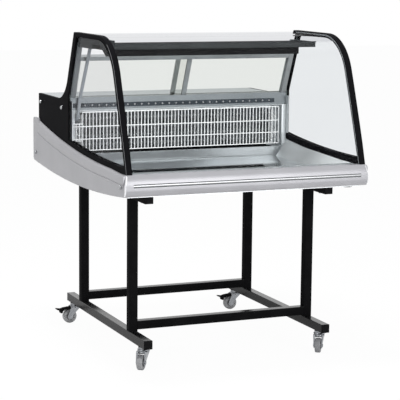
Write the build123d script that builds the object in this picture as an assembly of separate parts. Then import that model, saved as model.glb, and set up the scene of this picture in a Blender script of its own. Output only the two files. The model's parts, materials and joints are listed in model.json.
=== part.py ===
from build123d import *
import math
import os

# Refrigerated serve-over display cabinet on a castor stand.
# Millimetres. X runs left to right, Y front to back, Z up from the floor.
# The origin is on the floor, under the middle of the cabinet.

# Cabinet envelope
cabinet_width = 1030.0
cabinet_depth = 1150.0
body_height = 592.0
panel_thickness = 25.0
panel_skin = 13.0
side_bumper_thickness = 10.0
sheet = 1.5
rest_gap = 0.3

# Stand of square tube
tube_size = 35.0
tube_wall = 2.0
post_inset = 96.0
post_spacing_y = 585.0
rail_length = 944.0
stand_y = -15.0
stand_height = 690.0
castor_head_height = 27.0
cross_rail_lift = 6.5
plug_flange = 3.0
plug_depth = 18.0
plug_clearance = 0.2
stand_bolt_diameter = 8.0
stand_bolt_spacing_y = 800.0
stand_bolt_head = 13.0
stand_bolt_head_height = 5.5
stand_bolt_clearance = 0.2
stand_nut_height = 6.5

# Castors
castor_inset = 55.0
front_heading_left = 230.0
front_heading_right = 235.0
rear_heading = 180.0
wheel_diameter = 60.0
wheel_width = 22.0
tyre_thickness = 9.0
tyre_round = 4.0
hub_recess = 5.0
hub_rim = 4.0
hub_boss_diameter = 18.0
hub_boss_clearance = 0.4
castor_trail = 25.0
fork_side_gap = 2.0
fork_plate = 3.0
fork_head_diameter = 42.0
fork_head_height = 6.7
fork_leg_width = 22.0
axle_diameter = 8.0
axle_clearance = 0.05
axle_head = 13.0
axle_head_height = 4.0
swivel_pin_diameter = 10.0
swivel_clearance = 0.05
swivel_cup_diameter = 40.0
swivel_cup_height = 8.0
swivel_rivet_diameter = 18.0
swivel_rivet_height = 3.5
stem_diameter = 12.0
stem_length = 18.0
stem_hole_clearance = 0.15
stem_nut_size = 19.0
stem_nut_height = 10.0
pedal_pivot_x = 18.0
pedal_pivot_drop = 20.0
pedal_pin_diameter = 6.0
pedal_reach = 86.0
pedal_side_clearance = 0.5

# Base tray and insulated well
tray_flange = 25.0
bumper_depth = 40.0
bumper_lift = 12.0
bumper_height = 85.0
liner_lip_drop = 9.0
well_front_wall = 35.0
well_lift = 40.0
machine_depth = 395.0
upstand_height = 46.0
recess_depth = 82.0
recess_roof_drop = 2.0
foam_rear_wall = 20.0
slope_run = 60.5
slope_rear_gap = 28.0
liner_end_bend = 40.0
cove_radius = 18.0
deck_height = 8.0
deck_clearance = 2.0
foot_diameter = 40.0
foot_height = 5.0
foot_inset_x = 25.0
foot_inset_front = 30.0
foot_inset_rear = 48.0

# End panels, in side view
glass_foot_setback = 13.0
front_radius = 8000.0
bend_radius = 210.0
bend_setback = 339.0
top_rear_lead = 84.0
rear_lean = 23.2
housing_height = 308.0
housing_rear_setback = 47.0
housing_fillet = 146.0
panel_lift = 22.0
frame_width = 18.0
rear_stile = 34.0
window_rear_gap = 9.0
sill_height = 20.0
rib_width = 18.0
sill_rib_height = 26.0

# Glass
pane_thickness = 4.0
pane_overlap = 8.0
pane_clearance = 0.3
glass_thickness = 6.0
glass_inset = 5.0
glass_rear_gap = 24.0
glass_end_gap = 0.3

# Side bumpers
side_mid_setback = 484.0
side_mid_rise = 11.0
side_block_length = 70.0
side_block_step = 8.0
side_block_rise = 12.0
side_rear_rise = 92.0
side_belly_setback = 646.0
side_belly_drop = 25.0
side_rear_lift = 7.0
side_rear_round = 12.0
side_edge_round = 5.0
shoulder_depth = 14.5
shoulder_side_gap = 0.5
shoulder_height = 40.0
shoulder_mid_height = 48.0
shoulder_rear_height = 57.0
bumper_bottom_round = 28.0
groove_height = 12.0
groove_depth = 4.0
groove_drop = 41.0
insert_thickness = 3.0
insert_clearance = 0.2

# Capped screws
cap_diameter = 16.0
cap_height = 9.0
cap_round = 6.0
cap_shank_diameter = 5.0
cap_shank_length = 7.0
cap_shank_clearance = 0.1
panel_screw_front_gap = 67.0
panel_screw_rear_gap = 38.0
panel_screw_drop = 34.0
bumper_screw_front_gap = 43.0
bumper_screw_rear_gap = 35.0
bumper_screw_lift = 37.0

# Rear wall, guard and evaporator
kerb_rise = 12.0
kerb_depth = 38.5
kerb_drop = 40.0
ledge_drop = 10.5
ledge_setback = 6.0
strip_height = 18.0
strip_lift = 19.0
strip_thickness = 2.0
strip_gap_left = 8.0
strip_gap_right = 57.0
strip_hole_diameter = 8.0
strip_hole_pitch = 31.0
guard_gap_left = 49.0
guard_gap_right = 42.0
guard_top_drop = 5.0
guard_lift = 14.0
guard_wire = 3.0
guard_stand_off = 17.0
guard_pitch = 15.0
guard_rail_lifts = (47.0, 99.0)
guard_bar_height = 8.0
guard_bar_thickness = 3.0
guard_bar_gap_left = 3.0
guard_bar_gap_right = 29.0
guard_tab_gap = 6.0
guard_tab_wires = 3
guard_tab_low = 40.0
guard_tab_high = 110.0
coil_tube_diameter = 12.0
coil_tube_clearance = 0.15
coil_rows = 4
coil_pitch = 36.0
coil_columns_pitch = 30.0
coil_back_gap = 10.0
coil_gap_left = 54.0
coil_gap_right = 64.0
coil_fin_depth = 60.0
coil_fin_pitch = 14.0
coil_fin_thickness = 4.0
coil_fin_web = 8.0
coil_plate = 2.0

# Rear uprights, door tracks and sliding doors, in the leaning plane
upright_width = 22.0
upright_depth = 24.0
upright_side_gap = 1.0
track_depth = 22.0
track_height = 7.0
top_track_height = 18.0
door_opening = 179.0
door_groove_clearance = 0.3
door_groove_depth = 5.0
door_top_lap = 8.0
door_lift_room = 4.0
door_pitch = 11.0
door_glass = 5.0
door_end_gap = 3.0
door_overlap_left = 20.0
door_overlap_right = 43.0
stile_width = 20.0
stile_thickness = 9.0
stile_lip = 2.0
stile_track_gap = 2.0

# Lamp canopy
hood_end_gap = 10.0
hood_setback = 58.0
hood_depth = 63.0
hood_drop = 39.0
hood_height = 20.0
hood_wall = 2.0
hood_arm_width = 25.0
hood_arm_lap = 8.0
lamp_box_end_gap = 45.0
lamp_box_depth = 75.0
lamp_box_drop = 31.0
lamp_box_rear_height = 12.0
lamp_box_wall = 2.0
lamp_tube_diameter = 16.0
lamp_holder_length = 28.0
lamp_cap_length = 12.0
lamp_back_gap = 10.0
lamp_lens_clearance = 0.2
lamp_lens_thickness = 2.0
wiring_box_width = 40.0
wiring_box_height = 18.0
wiring_box_length = 285.0
wiring_box_overhang = 52.0
conduit_diameter = 14.0
conduit_bend = 20.0
conduit_gap = 12.0
conduit_top_lead = 21.0
conduit_top_inset = 52.0
conduit_sill_inset = 39.0
conduit_kerb_inset = 32.0
conduit_end_inset = 28.0
conduit_tail_drop = 42.0
conduit_tail = 26.0

# Worktop and rear cover
worktop_flange = 20.0
cover_overlap = 18.0
cover_lift = 15.0
cover_top_drop = 8.0
louvre_width = 380.0
louvre_height = 9.0
louvre_pitch = 24.0
louvre_count = 8
louvre_lift = 35.0

# Condensing unit
compressor_inset = 230.0
compressor_rear_gap = 143.0
compressor_radius = 78.0
compressor_height = 165.0
compressor_round = 34.0
compressor_plate = 3.0
compressor_plate_x = 210.0
compressor_plate_y = 170.0
mount_diameter = 26.0
mount_height = 12.0
mount_inset = 22.0
condenser_inset = 270.0
condenser_width = 300.0
condenser_height = 240.0
condenser_depth = 60.0
condenser_rear_gap = 24.0
condenser_fin_pitch = 12.0
condenser_fin_thickness = 4.0
condenser_web = 10.0
shroud_thickness = 2.0
shroud_bore = 236.0
fan_diameter = 220.0
fan_lift = 130.0
fan_hub_diameter = 50.0
fan_hub_length = 24.0
fan_gap = 14.0
fan_blades_count = 5
fan_blade_thickness = 3.0
fan_blade_width = 46.0
fan_blade_angle = 28.0
motor_diameter = 80.0
motor_length = 60.0
motor_gap = 8.0
motor_shaft = 8.0
motor_shaft_clearance = 0.05
motor_pedestal_width = 40.0
pipe_diameter = 10.0
pipe_bend = 28.0

# Controls and cable gland on the rear cover
switch_plate_inset = 150.0
switch_plate_drop = 110.0
switch_plate_width = 170.0
switch_plate_height = 60.0
switch_plate_depth = 14.0
rocker_width = 14.0
rocker_height = 22.0
rocker_depth = 9.0
rocker_proud = 3.0
rocker_spacing = 34.0
rocker_clearance = 0.3
rocker_swing_room = 1.2
rocker_pin_diameter = 3.0
rocker_pin_length = 2.0
rocker_pin_clearance = 0.05
knob_diameter = 32.0
knob_height = 15.0
knob_offset = 52.0
knob_post_diameter = 8.0
knob_post_length = 11.0
knob_clearance = 0.05
knob_ridge = 6.0
gland_inset = 80.0
gland_lift = 40.0
gland_flange_diameter = 30.0
gland_flange = 6.0
gland_neck_diameter = 22.0
gland_neck_length = 18.0
gland_bore = 9.0

# Places across the cabinet
x_out = cabinet_width / 2
x_panel = x_out - side_bumper_thickness
x_in = x_panel - panel_thickness
x_wall = x_panel - panel_skin
post_x = x_in - post_inset
guard_left_x = guard_gap_left - x_wall
guard_right_x = x_wall - guard_gap_right
coil_left_x = coil_gap_left - x_wall
coil_right_x = x_wall - coil_gap_right
upright_middle_x = x_wall - upright_side_gap - upright_width / 2
upright_inner_x = upright_middle_x - upright_width / 2
hood_half = x_in - hood_end_gap
lamp_box_half = hood_half - lamp_box_end_gap
lamp_tube_half = lamp_box_half - lamp_box_wall - lamp_holder_length
compressor_x = compressor_inset - x_in
condenser_x = x_in - condenser_inset
switch_plate_x = switch_plate_inset - x_in
gland_x = x_in - gland_inset

# Places from front to back
lean_sin = math.sin(math.radians(rear_lean))
lean_cos = math.cos(math.radians(rear_lean))
lean_tan = lean_sin / lean_cos
y_front = -cabinet_depth / 2
y_rear = cabinet_depth / 2
bumper_back_y = y_front + bumper_depth
glass_foot_y = y_front + glass_foot_setback
bend_start_y = y_front + bend_setback
side_top_mid_y = y_front + side_mid_setback
side_belly_y = y_front + side_belly_setback
bumper_screw_front_y = y_front + bumper_screw_front_gap
bumper_screw_rear_y = y_rear - bumper_screw_rear_gap
side_top_rear_y = y_rear - side_block_length
housing_rear_y = y_rear - housing_rear_setback
well_rear_y = housing_rear_y - machine_depth
panel_top_rear_y = well_rear_y - top_rear_lead
glass_rear_y = panel_top_rear_y - glass_rear_gap
window_rear_y = well_rear_y - window_rear_gap
slope_rear_y = well_rear_y - slope_rear_gap
wall_face_y = well_rear_y - sheet
kerb_back_y = wall_face_y + kerb_depth
upright_front_y = wall_face_y + ledge_setback
hood_front_y = bend_start_y + hood_setback
foam_rear_y = well_rear_y + recess_depth + sheet + foam_rear_wall
panel_screw_front_y = well_rear_y + panel_screw_front_gap
panel_screw_rear_y = housing_rear_y - panel_screw_rear_gap
compressor_y = housing_rear_y - compressor_rear_gap
cover_y = housing_rear_y
cover_face_y = cover_y + sheet

# Levels above the floor
axle_height = wheel_diameter / 2
castor_height = wheel_diameter + castor_head_height
rail_bottom_foot = castor_height
rail_bottom_top = stand_height - tube_size
cabinet_height = stand_height + body_height
bumper_bottom = stand_height + bumper_lift
bumper_top = bumper_bottom + bumper_height
tray_top_front = bumper_top - liner_lip_drop
groove_middle = bumper_top - groove_drop
bumper_screw_height = bumper_bottom + bumper_screw_lift
side_top_mid = bumper_top + side_mid_rise
side_top_rear = bumper_top + side_rear_rise
side_block_top = side_top_rear + side_block_rise
side_belly = bumper_bottom - side_belly_drop
side_rear_bottom = bumper_bottom + side_rear_lift
panel_bottom = stand_height + panel_lift
housing_top = stand_height + housing_height
panel_screw_height = housing_top - panel_screw_drop
worktop_under = housing_top - sheet
well_floor = stand_height + well_lift
deck_top = well_floor + deck_height
upstand_top = well_floor + upstand_height
kerb_top = housing_top + kerb_rise
kerb_bottom = housing_top - kerb_drop
recess_top = kerb_bottom - recess_roof_drop
strip_middle = kerb_bottom + strip_lift
guard_top = kerb_bottom - guard_top_drop
guard_bottom = upstand_top + guard_lift
ledge_top = kerb_top - ledge_drop
hood_top = cabinet_height - hood_drop
hood_bottom = hood_top - hood_height
lamp_box_bottom = hood_bottom - lamp_box_drop
lamp_box_rear_bottom = hood_top - lamp_box_rear_height
cover_bottom = stand_height + cover_lift
cover_top = housing_top - cover_top_drop
louvre_bottom = cover_bottom + louvre_lift
fan_height = stand_height + fan_lift
switch_plate_z = cover_top - switch_plate_drop
gland_z = cover_bottom + gland_lift

# The plane of the leaning rear, through the ledge behind the kerb's lip
door_plane = Plane(origin=(0, upright_front_y, ledge_top), x_dir=(1, 0, 0), z_dir=(0, -lean_sin, lean_cos))
far = 2000.0


def box(x0, x1, y0, y1, z0, z1):
    centre = ((x0 + x1) / 2, (y0 + y1) / 2, (z0 + z1) / 2)
    return Pos(*centre) * Box(x1 - x0, y1 - y0, z1 - z0)


def prism(sketch, x0, x1):
    return Pos(x0, 0, 0) * extrude(Plane.YZ * sketch, x1 - x0)


def outline(points):
    return make_face(Polyline(*points, close=True))


def rod_x(radius, x0, x1, y, z):
    return Pos((x0 + x1) / 2, y, z) * Rot(0, 90, 0) * Cylinder(radius, x1 - x0)


def rod_y(radius, x, y0, y1, z):
    return Pos(x, (y0 + y1) / 2, z) * Rot(90, 0, 0) * Cylinder(radius, y1 - y0)


def rod_z(radius, x, y, z0, z1):
    return Pos(x, y, (z0 + z1) / 2) * Cylinder(radius, z1 - z0)


def hex_z(across, x, y, z0, z1):
    hexagon = RegularPolygon(across / 2, 6, major_radius=False)
    return Pos(x, y, z0) * extrude(hexagon, z1 - z0)


def flip(part):
    return mirror(part, about=Plane.YZ)


def square_tube(x, y, z, length, axis):
    outer = Rectangle(tube_size, tube_size)
    inner = Rectangle(tube_size - 2 * tube_wall, tube_size - 2 * tube_wall)
    place = {"X": Rot(0, 90, 0), "Y": Rot(90, 0, 0), "Z": Rot(0, 0, 0)}[axis]
    bar = extrude(outer - inner, length / 2, both=True)
    return Pos(x, y, z) * place * bar


nodes = {}


def keep(name, solids):
    pieces = []
    for piece in solids:
        pieces.extend(piece.solids())
    nodes[name] = pieces


# Stand: I-shaped side frames, two cross rails, end plugs and the bolts that hold the cabinet
def stand_sides():
    return (-post_x, post_x)


def stand_ends():
    return (stand_y - post_spacing_y / 2, stand_y + post_spacing_y / 2)


def castor_places():
    reach = rail_length / 2 - castor_inset
    left, right = stand_sides()
    return {
        "fl": (left, stand_y - reach, front_heading_left),
        "fr": (right, stand_y - reach, front_heading_right),
        "rl": (left, stand_y + reach, rear_heading),
        "rr": (right, stand_y + reach, rear_heading),
    }


def bolt_places():
    places = []
    for x in stand_sides():
        for side in (-1, 1):
            places.append((x, stand_y + side * stand_bolt_spacing_y / 2))
    return places


def make_stand():
    rail_tube = rail_length - 2 * plug_flange
    stem_radius = stem_diameter / 2 + stem_hole_clearance
    bolt_radius = stand_bolt_diameter / 2 + stand_bolt_clearance
    foot_rails = []
    top_rails = []
    for x in stand_sides():
        foot = square_tube(x, stand_y, rail_bottom_foot + tube_size / 2, rail_tube, "Y")
        for cx, cy, heading in castor_places().values():
            foot -= rod_z(stem_radius, cx, cy, rail_bottom_foot - 1, rail_bottom_foot + tube_size / 2)
        foot_rails.append(foot)
        top = square_tube(x, stand_y, rail_bottom_top + tube_size / 2, rail_tube, "Y")
        for bx, by in bolt_places():
            top -= rod_z(bolt_radius, bx, by, rail_bottom_top - 1, stand_height + 1)
        top_rails.append(top)
    keep("stand_foot_rails", foot_rails)
    keep("stand_top_rails", top_rails)
    post_bottom = rail_bottom_foot + tube_size
    posts = []
    for x in stand_sides():
        for y in stand_ends():
            middle = (post_bottom + rail_bottom_top) / 2
            posts.append(square_tube(x, y, middle, rail_bottom_top - post_bottom, "Z"))
    keep("stand_posts", posts)
    cross_middle = post_bottom + cross_rail_lift + tube_size / 2
    cross_length = 2 * post_x - tube_size
    keep("stand_cross_rails", [square_tube(0, y, cross_middle, cross_length, "X") for y in stand_ends()])
    plugs = []
    core = tube_size / 2 - tube_wall - plug_clearance
    for x in stand_sides():
        for base in (rail_bottom_foot, rail_bottom_top):
            for side in (-1, 1):
                end = stand_y + side * rail_length / 2
                shoulder = end - side * plug_flange
                tip = shoulder - side * plug_depth
                middle = base + tube_size / 2
                cap = box(x - tube_size / 2, x + tube_size / 2, min(end, shoulder), max(end, shoulder),
                          base, base + tube_size)
                tongue = box(x - core, x + core, min(tip, shoulder), max(tip, shoulder),
                             middle - core, middle + core)
                plugs.append(cap + tongue)
    keep("rail_end_plugs", plugs)
    bolts = []
    for x, y in bolt_places():
        tip = stand_height + sheet + stand_nut_height
        shank = rod_z(stand_bolt_diameter / 2, x, y, rail_bottom_top, tip)
        head = hex_z(stand_bolt_head, x, y, rail_bottom_top - stand_bolt_head_height, rail_bottom_top)
        nut = hex_z(stand_bolt_head, x, y, stand_height + sheet, tip)
        nut -= rod_z(stand_bolt_diameter / 2, x, y, stand_height, tip + 1)
        bolts.append(shank + head)
        bolts.append(nut)
    keep("stand_bolts", bolts)


# Castors, built with the swivel axis on the origin and the wheel trailing along +X, then turned
def castor_stem():
    cup_bottom = castor_height - swivel_cup_height
    head_bottom = cup_bottom - rest_gap - fork_head_height
    rivet_top = head_bottom - rest_gap
    stem = rod_z(swivel_cup_diameter / 2, 0, 0, cup_bottom, castor_height)
    stem += rod_z(stem_diameter / 2, 0, 0, castor_height, castor_height + stem_length)
    stem += rod_z(swivel_pin_diameter / 2, 0, 0, rivet_top, cup_bottom)
    stem += rod_z(swivel_rivet_diameter / 2, 0, 0, rivet_top - swivel_rivet_height, rivet_top)
    floor = castor_height + tube_wall
    nut = hex_z(stem_nut_size, 0, 0, floor, floor + stem_nut_height)
    nut -= rod_z(stem_diameter / 2, 0, 0, floor - 1, floor + stem_nut_height + 1)
    return [stem, nut]


def fork_numbers():
    head_top = castor_height - swivel_cup_height - rest_gap
    head_bottom = head_top - fork_head_height
    inner = wheel_width / 2 + fork_side_gap
    return head_bottom, head_top, inner, inner + fork_plate


def pedal_pivot_height():
    return castor_height - pedal_pivot_drop


def castor_fork(braked):
    head_bottom, head_top, inner, outer = fork_numbers()
    half = fork_leg_width / 2
    leg_top = head_bottom + fork_plate
    shoulder = fork_head_diameter / 2 - fork_plate
    fork = rod_z(fork_head_diameter / 2, 0, 0, head_bottom, head_top)
    fork += box(-shoulder, castor_trail - fork_plate, -outer, outer, head_bottom, leg_top)
    side_view = outline([(-shoulder, leg_top), (castor_trail - fork_plate, leg_top),
                         (castor_trail + half, axle_height), (castor_trail - half, axle_height)])
    side_view += Pos(castor_trail, axle_height) * Circle(half)
    for start in (-outer, inner):
        leg = extrude(Plane.XZ * side_view, fork_plate)
        fork += Pos(0, start + fork_plate, 0) * leg
    fork -= rod_z(swivel_pin_diameter / 2 + swivel_clearance, 0, 0, head_bottom - 1, head_top + 1)
    fork -= rod_y(axle_diameter / 2, castor_trail, -outer - 1, outer + 1, axle_height)
    axle = rod_y(axle_diameter / 2, castor_trail, -outer, outer, axle_height)
    for y0, y1 in ((-outer - axle_head_height, -outer), (outer, outer + axle_head_height)):
        head = Pos(castor_trail, y1, axle_height) * Rot(90, 0, 0) * hex_z(axle_head, 0, 0, 0, y1 - y0)
        axle += head
    solids = [fork, axle]
    if braked:
        pivot = (pedal_pivot_x, pedal_pivot_height())
        fork -= rod_y(pedal_pin_diameter / 2, pivot[0], -outer - 1, outer + 1, pivot[1])
        solids = [fork, axle, rod_y(pedal_pin_diameter / 2, pivot[0], -outer, outer, pivot[1])]
    return solids


def castor_wheel():
    head_bottom, head_top, inner, outer = fork_numbers()
    radius = wheel_diameter / 2
    rim_radius = radius - tyre_thickness
    tyre = rod_y(radius, castor_trail, -wheel_width / 2, wheel_width / 2, axle_height)
    tyre = fillet(tyre.edges().filter_by(GeomType.CIRCLE), tyre_round)
    tyre -= rod_y(rim_radius, castor_trail, -wheel_width, wheel_width, axle_height)
    hub_half = wheel_width / 2 - 1
    hub = rod_y(rim_radius, castor_trail, -hub_half, hub_half, axle_height)
    for y0, y1 in ((-hub_half, -hub_half + hub_recess), (hub_half - hub_recess, hub_half)):
        hub -= rod_y(rim_radius - hub_rim, castor_trail, y0, y1, axle_height)
    boss_half = inner - hub_boss_clearance
    hub += rod_y(hub_boss_diameter / 2, castor_trail, -boss_half, boss_half, axle_height)
    hub -= rod_y(axle_diameter / 2 + axle_clearance, castor_trail, -outer, outer, axle_height)
    return [tyre, hub]


def brake_pedal():
    head_bottom, head_top, inner, outer = fork_numbers()
    pivot_z = pedal_pivot_height()
    half = inner - pedal_side_clearance
    shoe_x = castor_trail + wheel_diameter / 2 + 5
    profile = outline([
        (pedal_pivot_x - 4, pivot_z + 3), (pedal_pivot_x + 12, pivot_z + 3.5), (shoe_x - 8, pivot_z + 1),
        (shoe_x + 6, pivot_z - 3), (pedal_reach, pivot_z), (pedal_reach, pivot_z - 4),
        (shoe_x + 10, pivot_z - 10), (shoe_x + 8, pivot_z - 21), (shoe_x, pivot_z - 21),
        (shoe_x - 2, pivot_z - 13), (shoe_x - 14, pivot_z - 6), (pedal_pivot_x - 4, pivot_z - 4),
    ])
    pedal = Pos(0, half, 0) * extrude(Plane.XZ * profile, 2 * half)
    hole = pedal_pin_diameter / 2 + axle_clearance
    pedal -= rod_y(hole, pedal_pivot_x, -outer, outer, pivot_z)
    return [pedal]


def make_castors():
    stems = []
    for tag, (x, y, heading) in castor_places().items():
        place = Pos(x, y, 0) * Rot(0, 0, heading)
        stems.extend(place * piece for piece in castor_stem())
        braked = tag in ("rl", "rr")
        keep("castor_fork_" + tag, [place * piece for piece in castor_fork(braked)])
        keep("castor_wheel_" + tag, [place * piece for piece in castor_wheel()])
        if braked:
            keep("brake_pedal_" + tag, [place * piece for piece in brake_pedal()])
    keep("castor_stems", stems)


# Side view of the curved front: a long shallow arc, a tight bend and a flat top
def front_arc_centres():
    bend = (bend_start_y, cabinet_height - bend_radius)
    foot = (glass_foot_y, bumper_top)
    near = front_radius - bend_radius
    gap = math.dist(bend, foot)
    along = (near ** 2 - front_radius ** 2 + gap ** 2) / (2 * gap)
    across = math.sqrt(near ** 2 - along ** 2)
    uy = (foot[0] - bend[0]) / gap
    uz = (foot[1] - bend[1]) / gap
    front = (bend[0] + along * uy - across * uz, bend[1] + along * uz + across * uy)
    return bend, front


def front_edges(inset, z_low):
    bend, front = front_arc_centres()
    reach = math.dist(bend, front)
    uy = (bend[0] - front[0]) / reach
    uz = (bend[1] - front[1]) / reach
    small = bend_radius - inset
    large = front_radius - inset
    low = (front[0] - math.sqrt(large ** 2 - (z_low - front[1]) ** 2), z_low)
    join = (bend[0] + small * uy, bend[1] + small * uz)
    half_z = (z_low + join[1]) / 2
    half = (front[0] - math.sqrt(large ** 2 - (half_z - front[1]) ** 2), half_z)
    middle_angle = (math.atan2(uz, uy) + math.pi / 2) / 2
    corner = (bend[0] + small * math.cos(middle_angle), bend[1] + small * math.sin(middle_angle))
    top = (bend[0], bend[1] + small)
    return [ThreePointArc(low, half, join), ThreePointArc(join, corner, top)], low, top


def shield(inset, z_low, y_back):
    arcs, low, top = front_edges(inset, z_low)
    back = Polyline(top, (y_back, top[1]), (y_back, z_low), low)
    return make_face(arcs + [back])


def side_top_arc(lift):
    points = [(y_front, bumper_top), (side_top_mid_y, side_top_mid), (side_top_rear_y, side_top_rear)]
    return ThreePointArc(*[(y, z + lift) for y, z in points])


def side_top_height(y):
    circle = side_top_arc(0)
    centre = circle.arc_center
    return centre.Y - math.sqrt(circle.radius ** 2 - (y - centre.X) ** 2)


def above_sill(lift):
    arc = side_top_arc(lift)
    start = arc @ 0
    end = arc @ 1
    lid = Polyline((end.X, end.Y), (end.X, far), (start.X, far), (start.X, start.Y))
    return make_face([arc, lid])


def rear_edge_y(z):
    return panel_top_rear_y + (cabinet_height - z) * lean_tan


def before_stile(grow):
    stile = rear_stile / lean_cos - grow
    knee = cabinet_height - (window_rear_y + stile - panel_top_rear_y) / lean_tan
    points = [(-far, 0), (window_rear_y + grow, 0), (window_rear_y + grow, knee - grow * lean_tan),
              (rear_edge_y(far) - stile, far), (-far, far)]
    return outline(points)


def window_face(grow):
    glass_area = shield(frame_width - grow, bumper_top, window_rear_y + far)
    return glass_area & above_sill(sill_height - grow) & before_stile(grow)


def sill_rib_face(grow):
    low = sill_height - sill_rib_height - grow
    ahead = outline([(-far, 0), (slope_rear_y + grow, 0), (slope_rear_y + grow, far), (-far, far)])
    return (above_sill(low) - above_sill(sill_height)) & ahead


def panel_face():
    arcs, low, top = front_edges(0, bumper_top)
    corner_y = rear_edge_y(housing_top)
    turn = math.radians(90 - rear_lean)
    run = housing_fillet * math.tan(turn / 2)
    start = (corner_y - run * lean_sin, housing_top + run * lean_cos)
    end = (corner_y + run, housing_top)
    centre = (end[0], housing_top + housing_fillet)
    half_angle = math.pi + (math.pi / 2 - turn / 2)
    middle = (centre[0] + housing_fillet * math.cos(half_angle),
              centre[1] + housing_fillet * math.sin(half_angle))
    roof = Polyline(top, (panel_top_rear_y, cabinet_height), start)
    cove = ThreePointArc(start, middle, end)
    rest = Polyline(end, (housing_rear_y, housing_top), (housing_rear_y, panel_bottom),
                    (bumper_back_y, panel_bottom), (bumper_back_y, bumper_top), low)
    return make_face(arcs + [roof, cove, rest])


def screw_spots_panel():
    return [(panel_screw_front_y, panel_screw_height), (panel_screw_rear_y, panel_screw_height)]


def screw_spots_bumper():
    return [(bumper_screw_front_y, bumper_screw_height), (bumper_screw_rear_y, bumper_screw_height)]


def make_end_panels():
    panel = prism(panel_face(), x_wall, x_panel)
    panel -= prism(window_face(0), x_in - 1, x_panel + 1)
    rebate = pane_thickness + pane_clearance
    panel -= prism(window_face(pane_overlap + pane_clearance), x_in - 1, x_wall + rebate)
    rib = shield(0, bumper_top, well_rear_y) - shield(rib_width, bumper_top - 1, well_rear_y + 1)
    panel += prism(rib & panel_face(), x_in, x_wall)
    panel += prism(sill_rib_face(0) & panel_face(), x_in, x_wall)
    hole = cap_shank_diameter / 2 + cap_shank_clearance
    for y, z in screw_spots_panel():
        panel -= rod_x(hole, x_panel - cap_shank_length - 1, x_panel + 1, y, z)
    keep("end_panel_right", [panel])
    keep("end_panel_left", [flip(panel)])
    pane = prism(window_face(pane_overlap), x_wall, x_wall + pane_thickness)
    keep("side_glass", [flip(pane), pane])


def bumper_nose():
    ledge_y = y_front + shoulder_depth
    low_y = y_front + bumper_bottom_round
    crease = bumper_top - shoulder_height
    radius = (shoulder_depth ** 2 + shoulder_height ** 2) / (2 * shoulder_depth)
    half = math.asin(shoulder_height / radius) / 2
    over = (y_front + radius * (1 - math.cos(half)), crease + radius * math.sin(half))
    turn_z = bumper_bottom + bumper_bottom_round
    cut = bumper_bottom_round * math.sqrt(0.5)
    upper = ThreePointArc((ledge_y, bumper_top), over, (y_front, crease))
    face_line = Line((y_front, crease), (y_front, turn_z))
    lower = ThreePointArc((y_front, turn_z), (low_y - cut, turn_z - cut), (low_y, bumper_bottom))
    return [upper, face_line, lower], (ledge_y, bumper_top), (low_y, bumper_bottom)


def bumper_front_face(back_y):
    nose, ledge, low = bumper_nose()
    rest = Polyline(low, (back_y, bumper_bottom), (back_y, bumper_top), ledge)
    return make_face(nose + [rest])


def bumper_reach_face():
    nose, ledge, low = bumper_nose()
    rest = Polyline(low, (low[0], 0), (far, 0), (far, far), (ledge[0], far), ledge)
    return make_face(nose + [rest])


def side_bumper_face():
    low_y = y_front + bumper_bottom_round
    belly = ThreePointArc((low_y, bumper_bottom), (side_belly_y, side_belly), (y_rear, side_rear_bottom))
    round_y = y_rear - side_rear_round
    round_z = side_block_top - side_rear_round
    cut = side_rear_round * math.sqrt(0.5)
    rear = Line((y_rear, side_rear_bottom), (y_rear, round_z))
    corner = ThreePointArc((y_rear, round_z), (round_y + cut, round_z + cut), (round_y, side_block_top))
    flat = Polyline((round_y, side_block_top), (side_top_rear_y + side_block_step, side_block_top),
                    (side_top_rear_y, side_top_rear))
    front = Polyline((y_front, bumper_top), (y_front, bumper_bottom), (low_y, bumper_bottom))
    return make_face([belly, rear, corner, flat, side_top_arc(0), front])


def side_shoulder():
    ahead = y_front - shoulder_depth
    places = [ahead, side_top_mid_y, side_top_rear_y]
    inner_x = x_panel + shoulder_side_gap
    outer_x = x_out + 1
    falls = [shoulder_height, shoulder_mid_height, shoulder_rear_height]
    faces = []
    for x in (inner_x, outer_x):
        share = (x - inner_x) / (x_out - inner_x)
        low = ThreePointArc(*[(y, side_top_height(y) - share * fall) for y, fall in zip(places, falls)])
        high = ThreePointArc(*[(y, side_top_height(y) + shoulder_height) for y in places])
        ring = [low, Line(low @ 1, high @ 1), high, Line(high @ 0, low @ 0)]
        faces.append(Pos(x, 0, 0) * (Plane.YZ * make_face(ring)))
    return loft(faces, ruled=True)


def make_bumpers():
    profile = bumper_front_face(bumper_back_y)
    plate = prism(side_bumper_face(), x_panel, x_out)
    belly = plate.faces().sort_by(Axis.X)[-1].edges().sort_by(Axis.Z)[0]
    plate = fillet(belly, side_edge_round)
    plate -= side_shoulder()
    plate = plate & prism(bumper_reach_face(), x_panel - 1, x_out + 1)
    side = plate + prism(profile, x_in, x_panel)
    hole = cap_shank_diameter / 2 + cap_shank_clearance
    for y, z in screw_spots_bumper():
        side -= rod_x(hole, x_out - cap_shank_length - 1, x_out + 1, y, z)
    keep("side_bumper_right", [side])
    keep("side_bumper_left", [flip(side)])
    beam = prism(profile, -x_in, x_in)
    groove_low = groove_middle - groove_height / 2
    groove_high = groove_middle + groove_height / 2
    beam -= box(-x_in - 1, x_in + 1, y_front - 1, y_front + groove_depth, groove_low, groove_high)
    keep("front_bumper", [beam])
    strip_front = y_front + groove_depth - insert_thickness
    keep("front_bumper_insert", [box(-x_in, x_in, strip_front, y_front + groove_depth,
                                     groove_low + insert_clearance, groove_high - insert_clearance)])


def cap_screw():
    head = Cylinder(cap_diameter / 2, cap_height)
    head = fillet(head.faces().sort_by(Axis.Z)[-1].edges(), cap_round)
    head = Pos(0, 0, cap_height / 2) * head
    return head + rod_z(cap_shank_diameter / 2, 0, 0, -cap_shank_length, 0)


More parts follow.
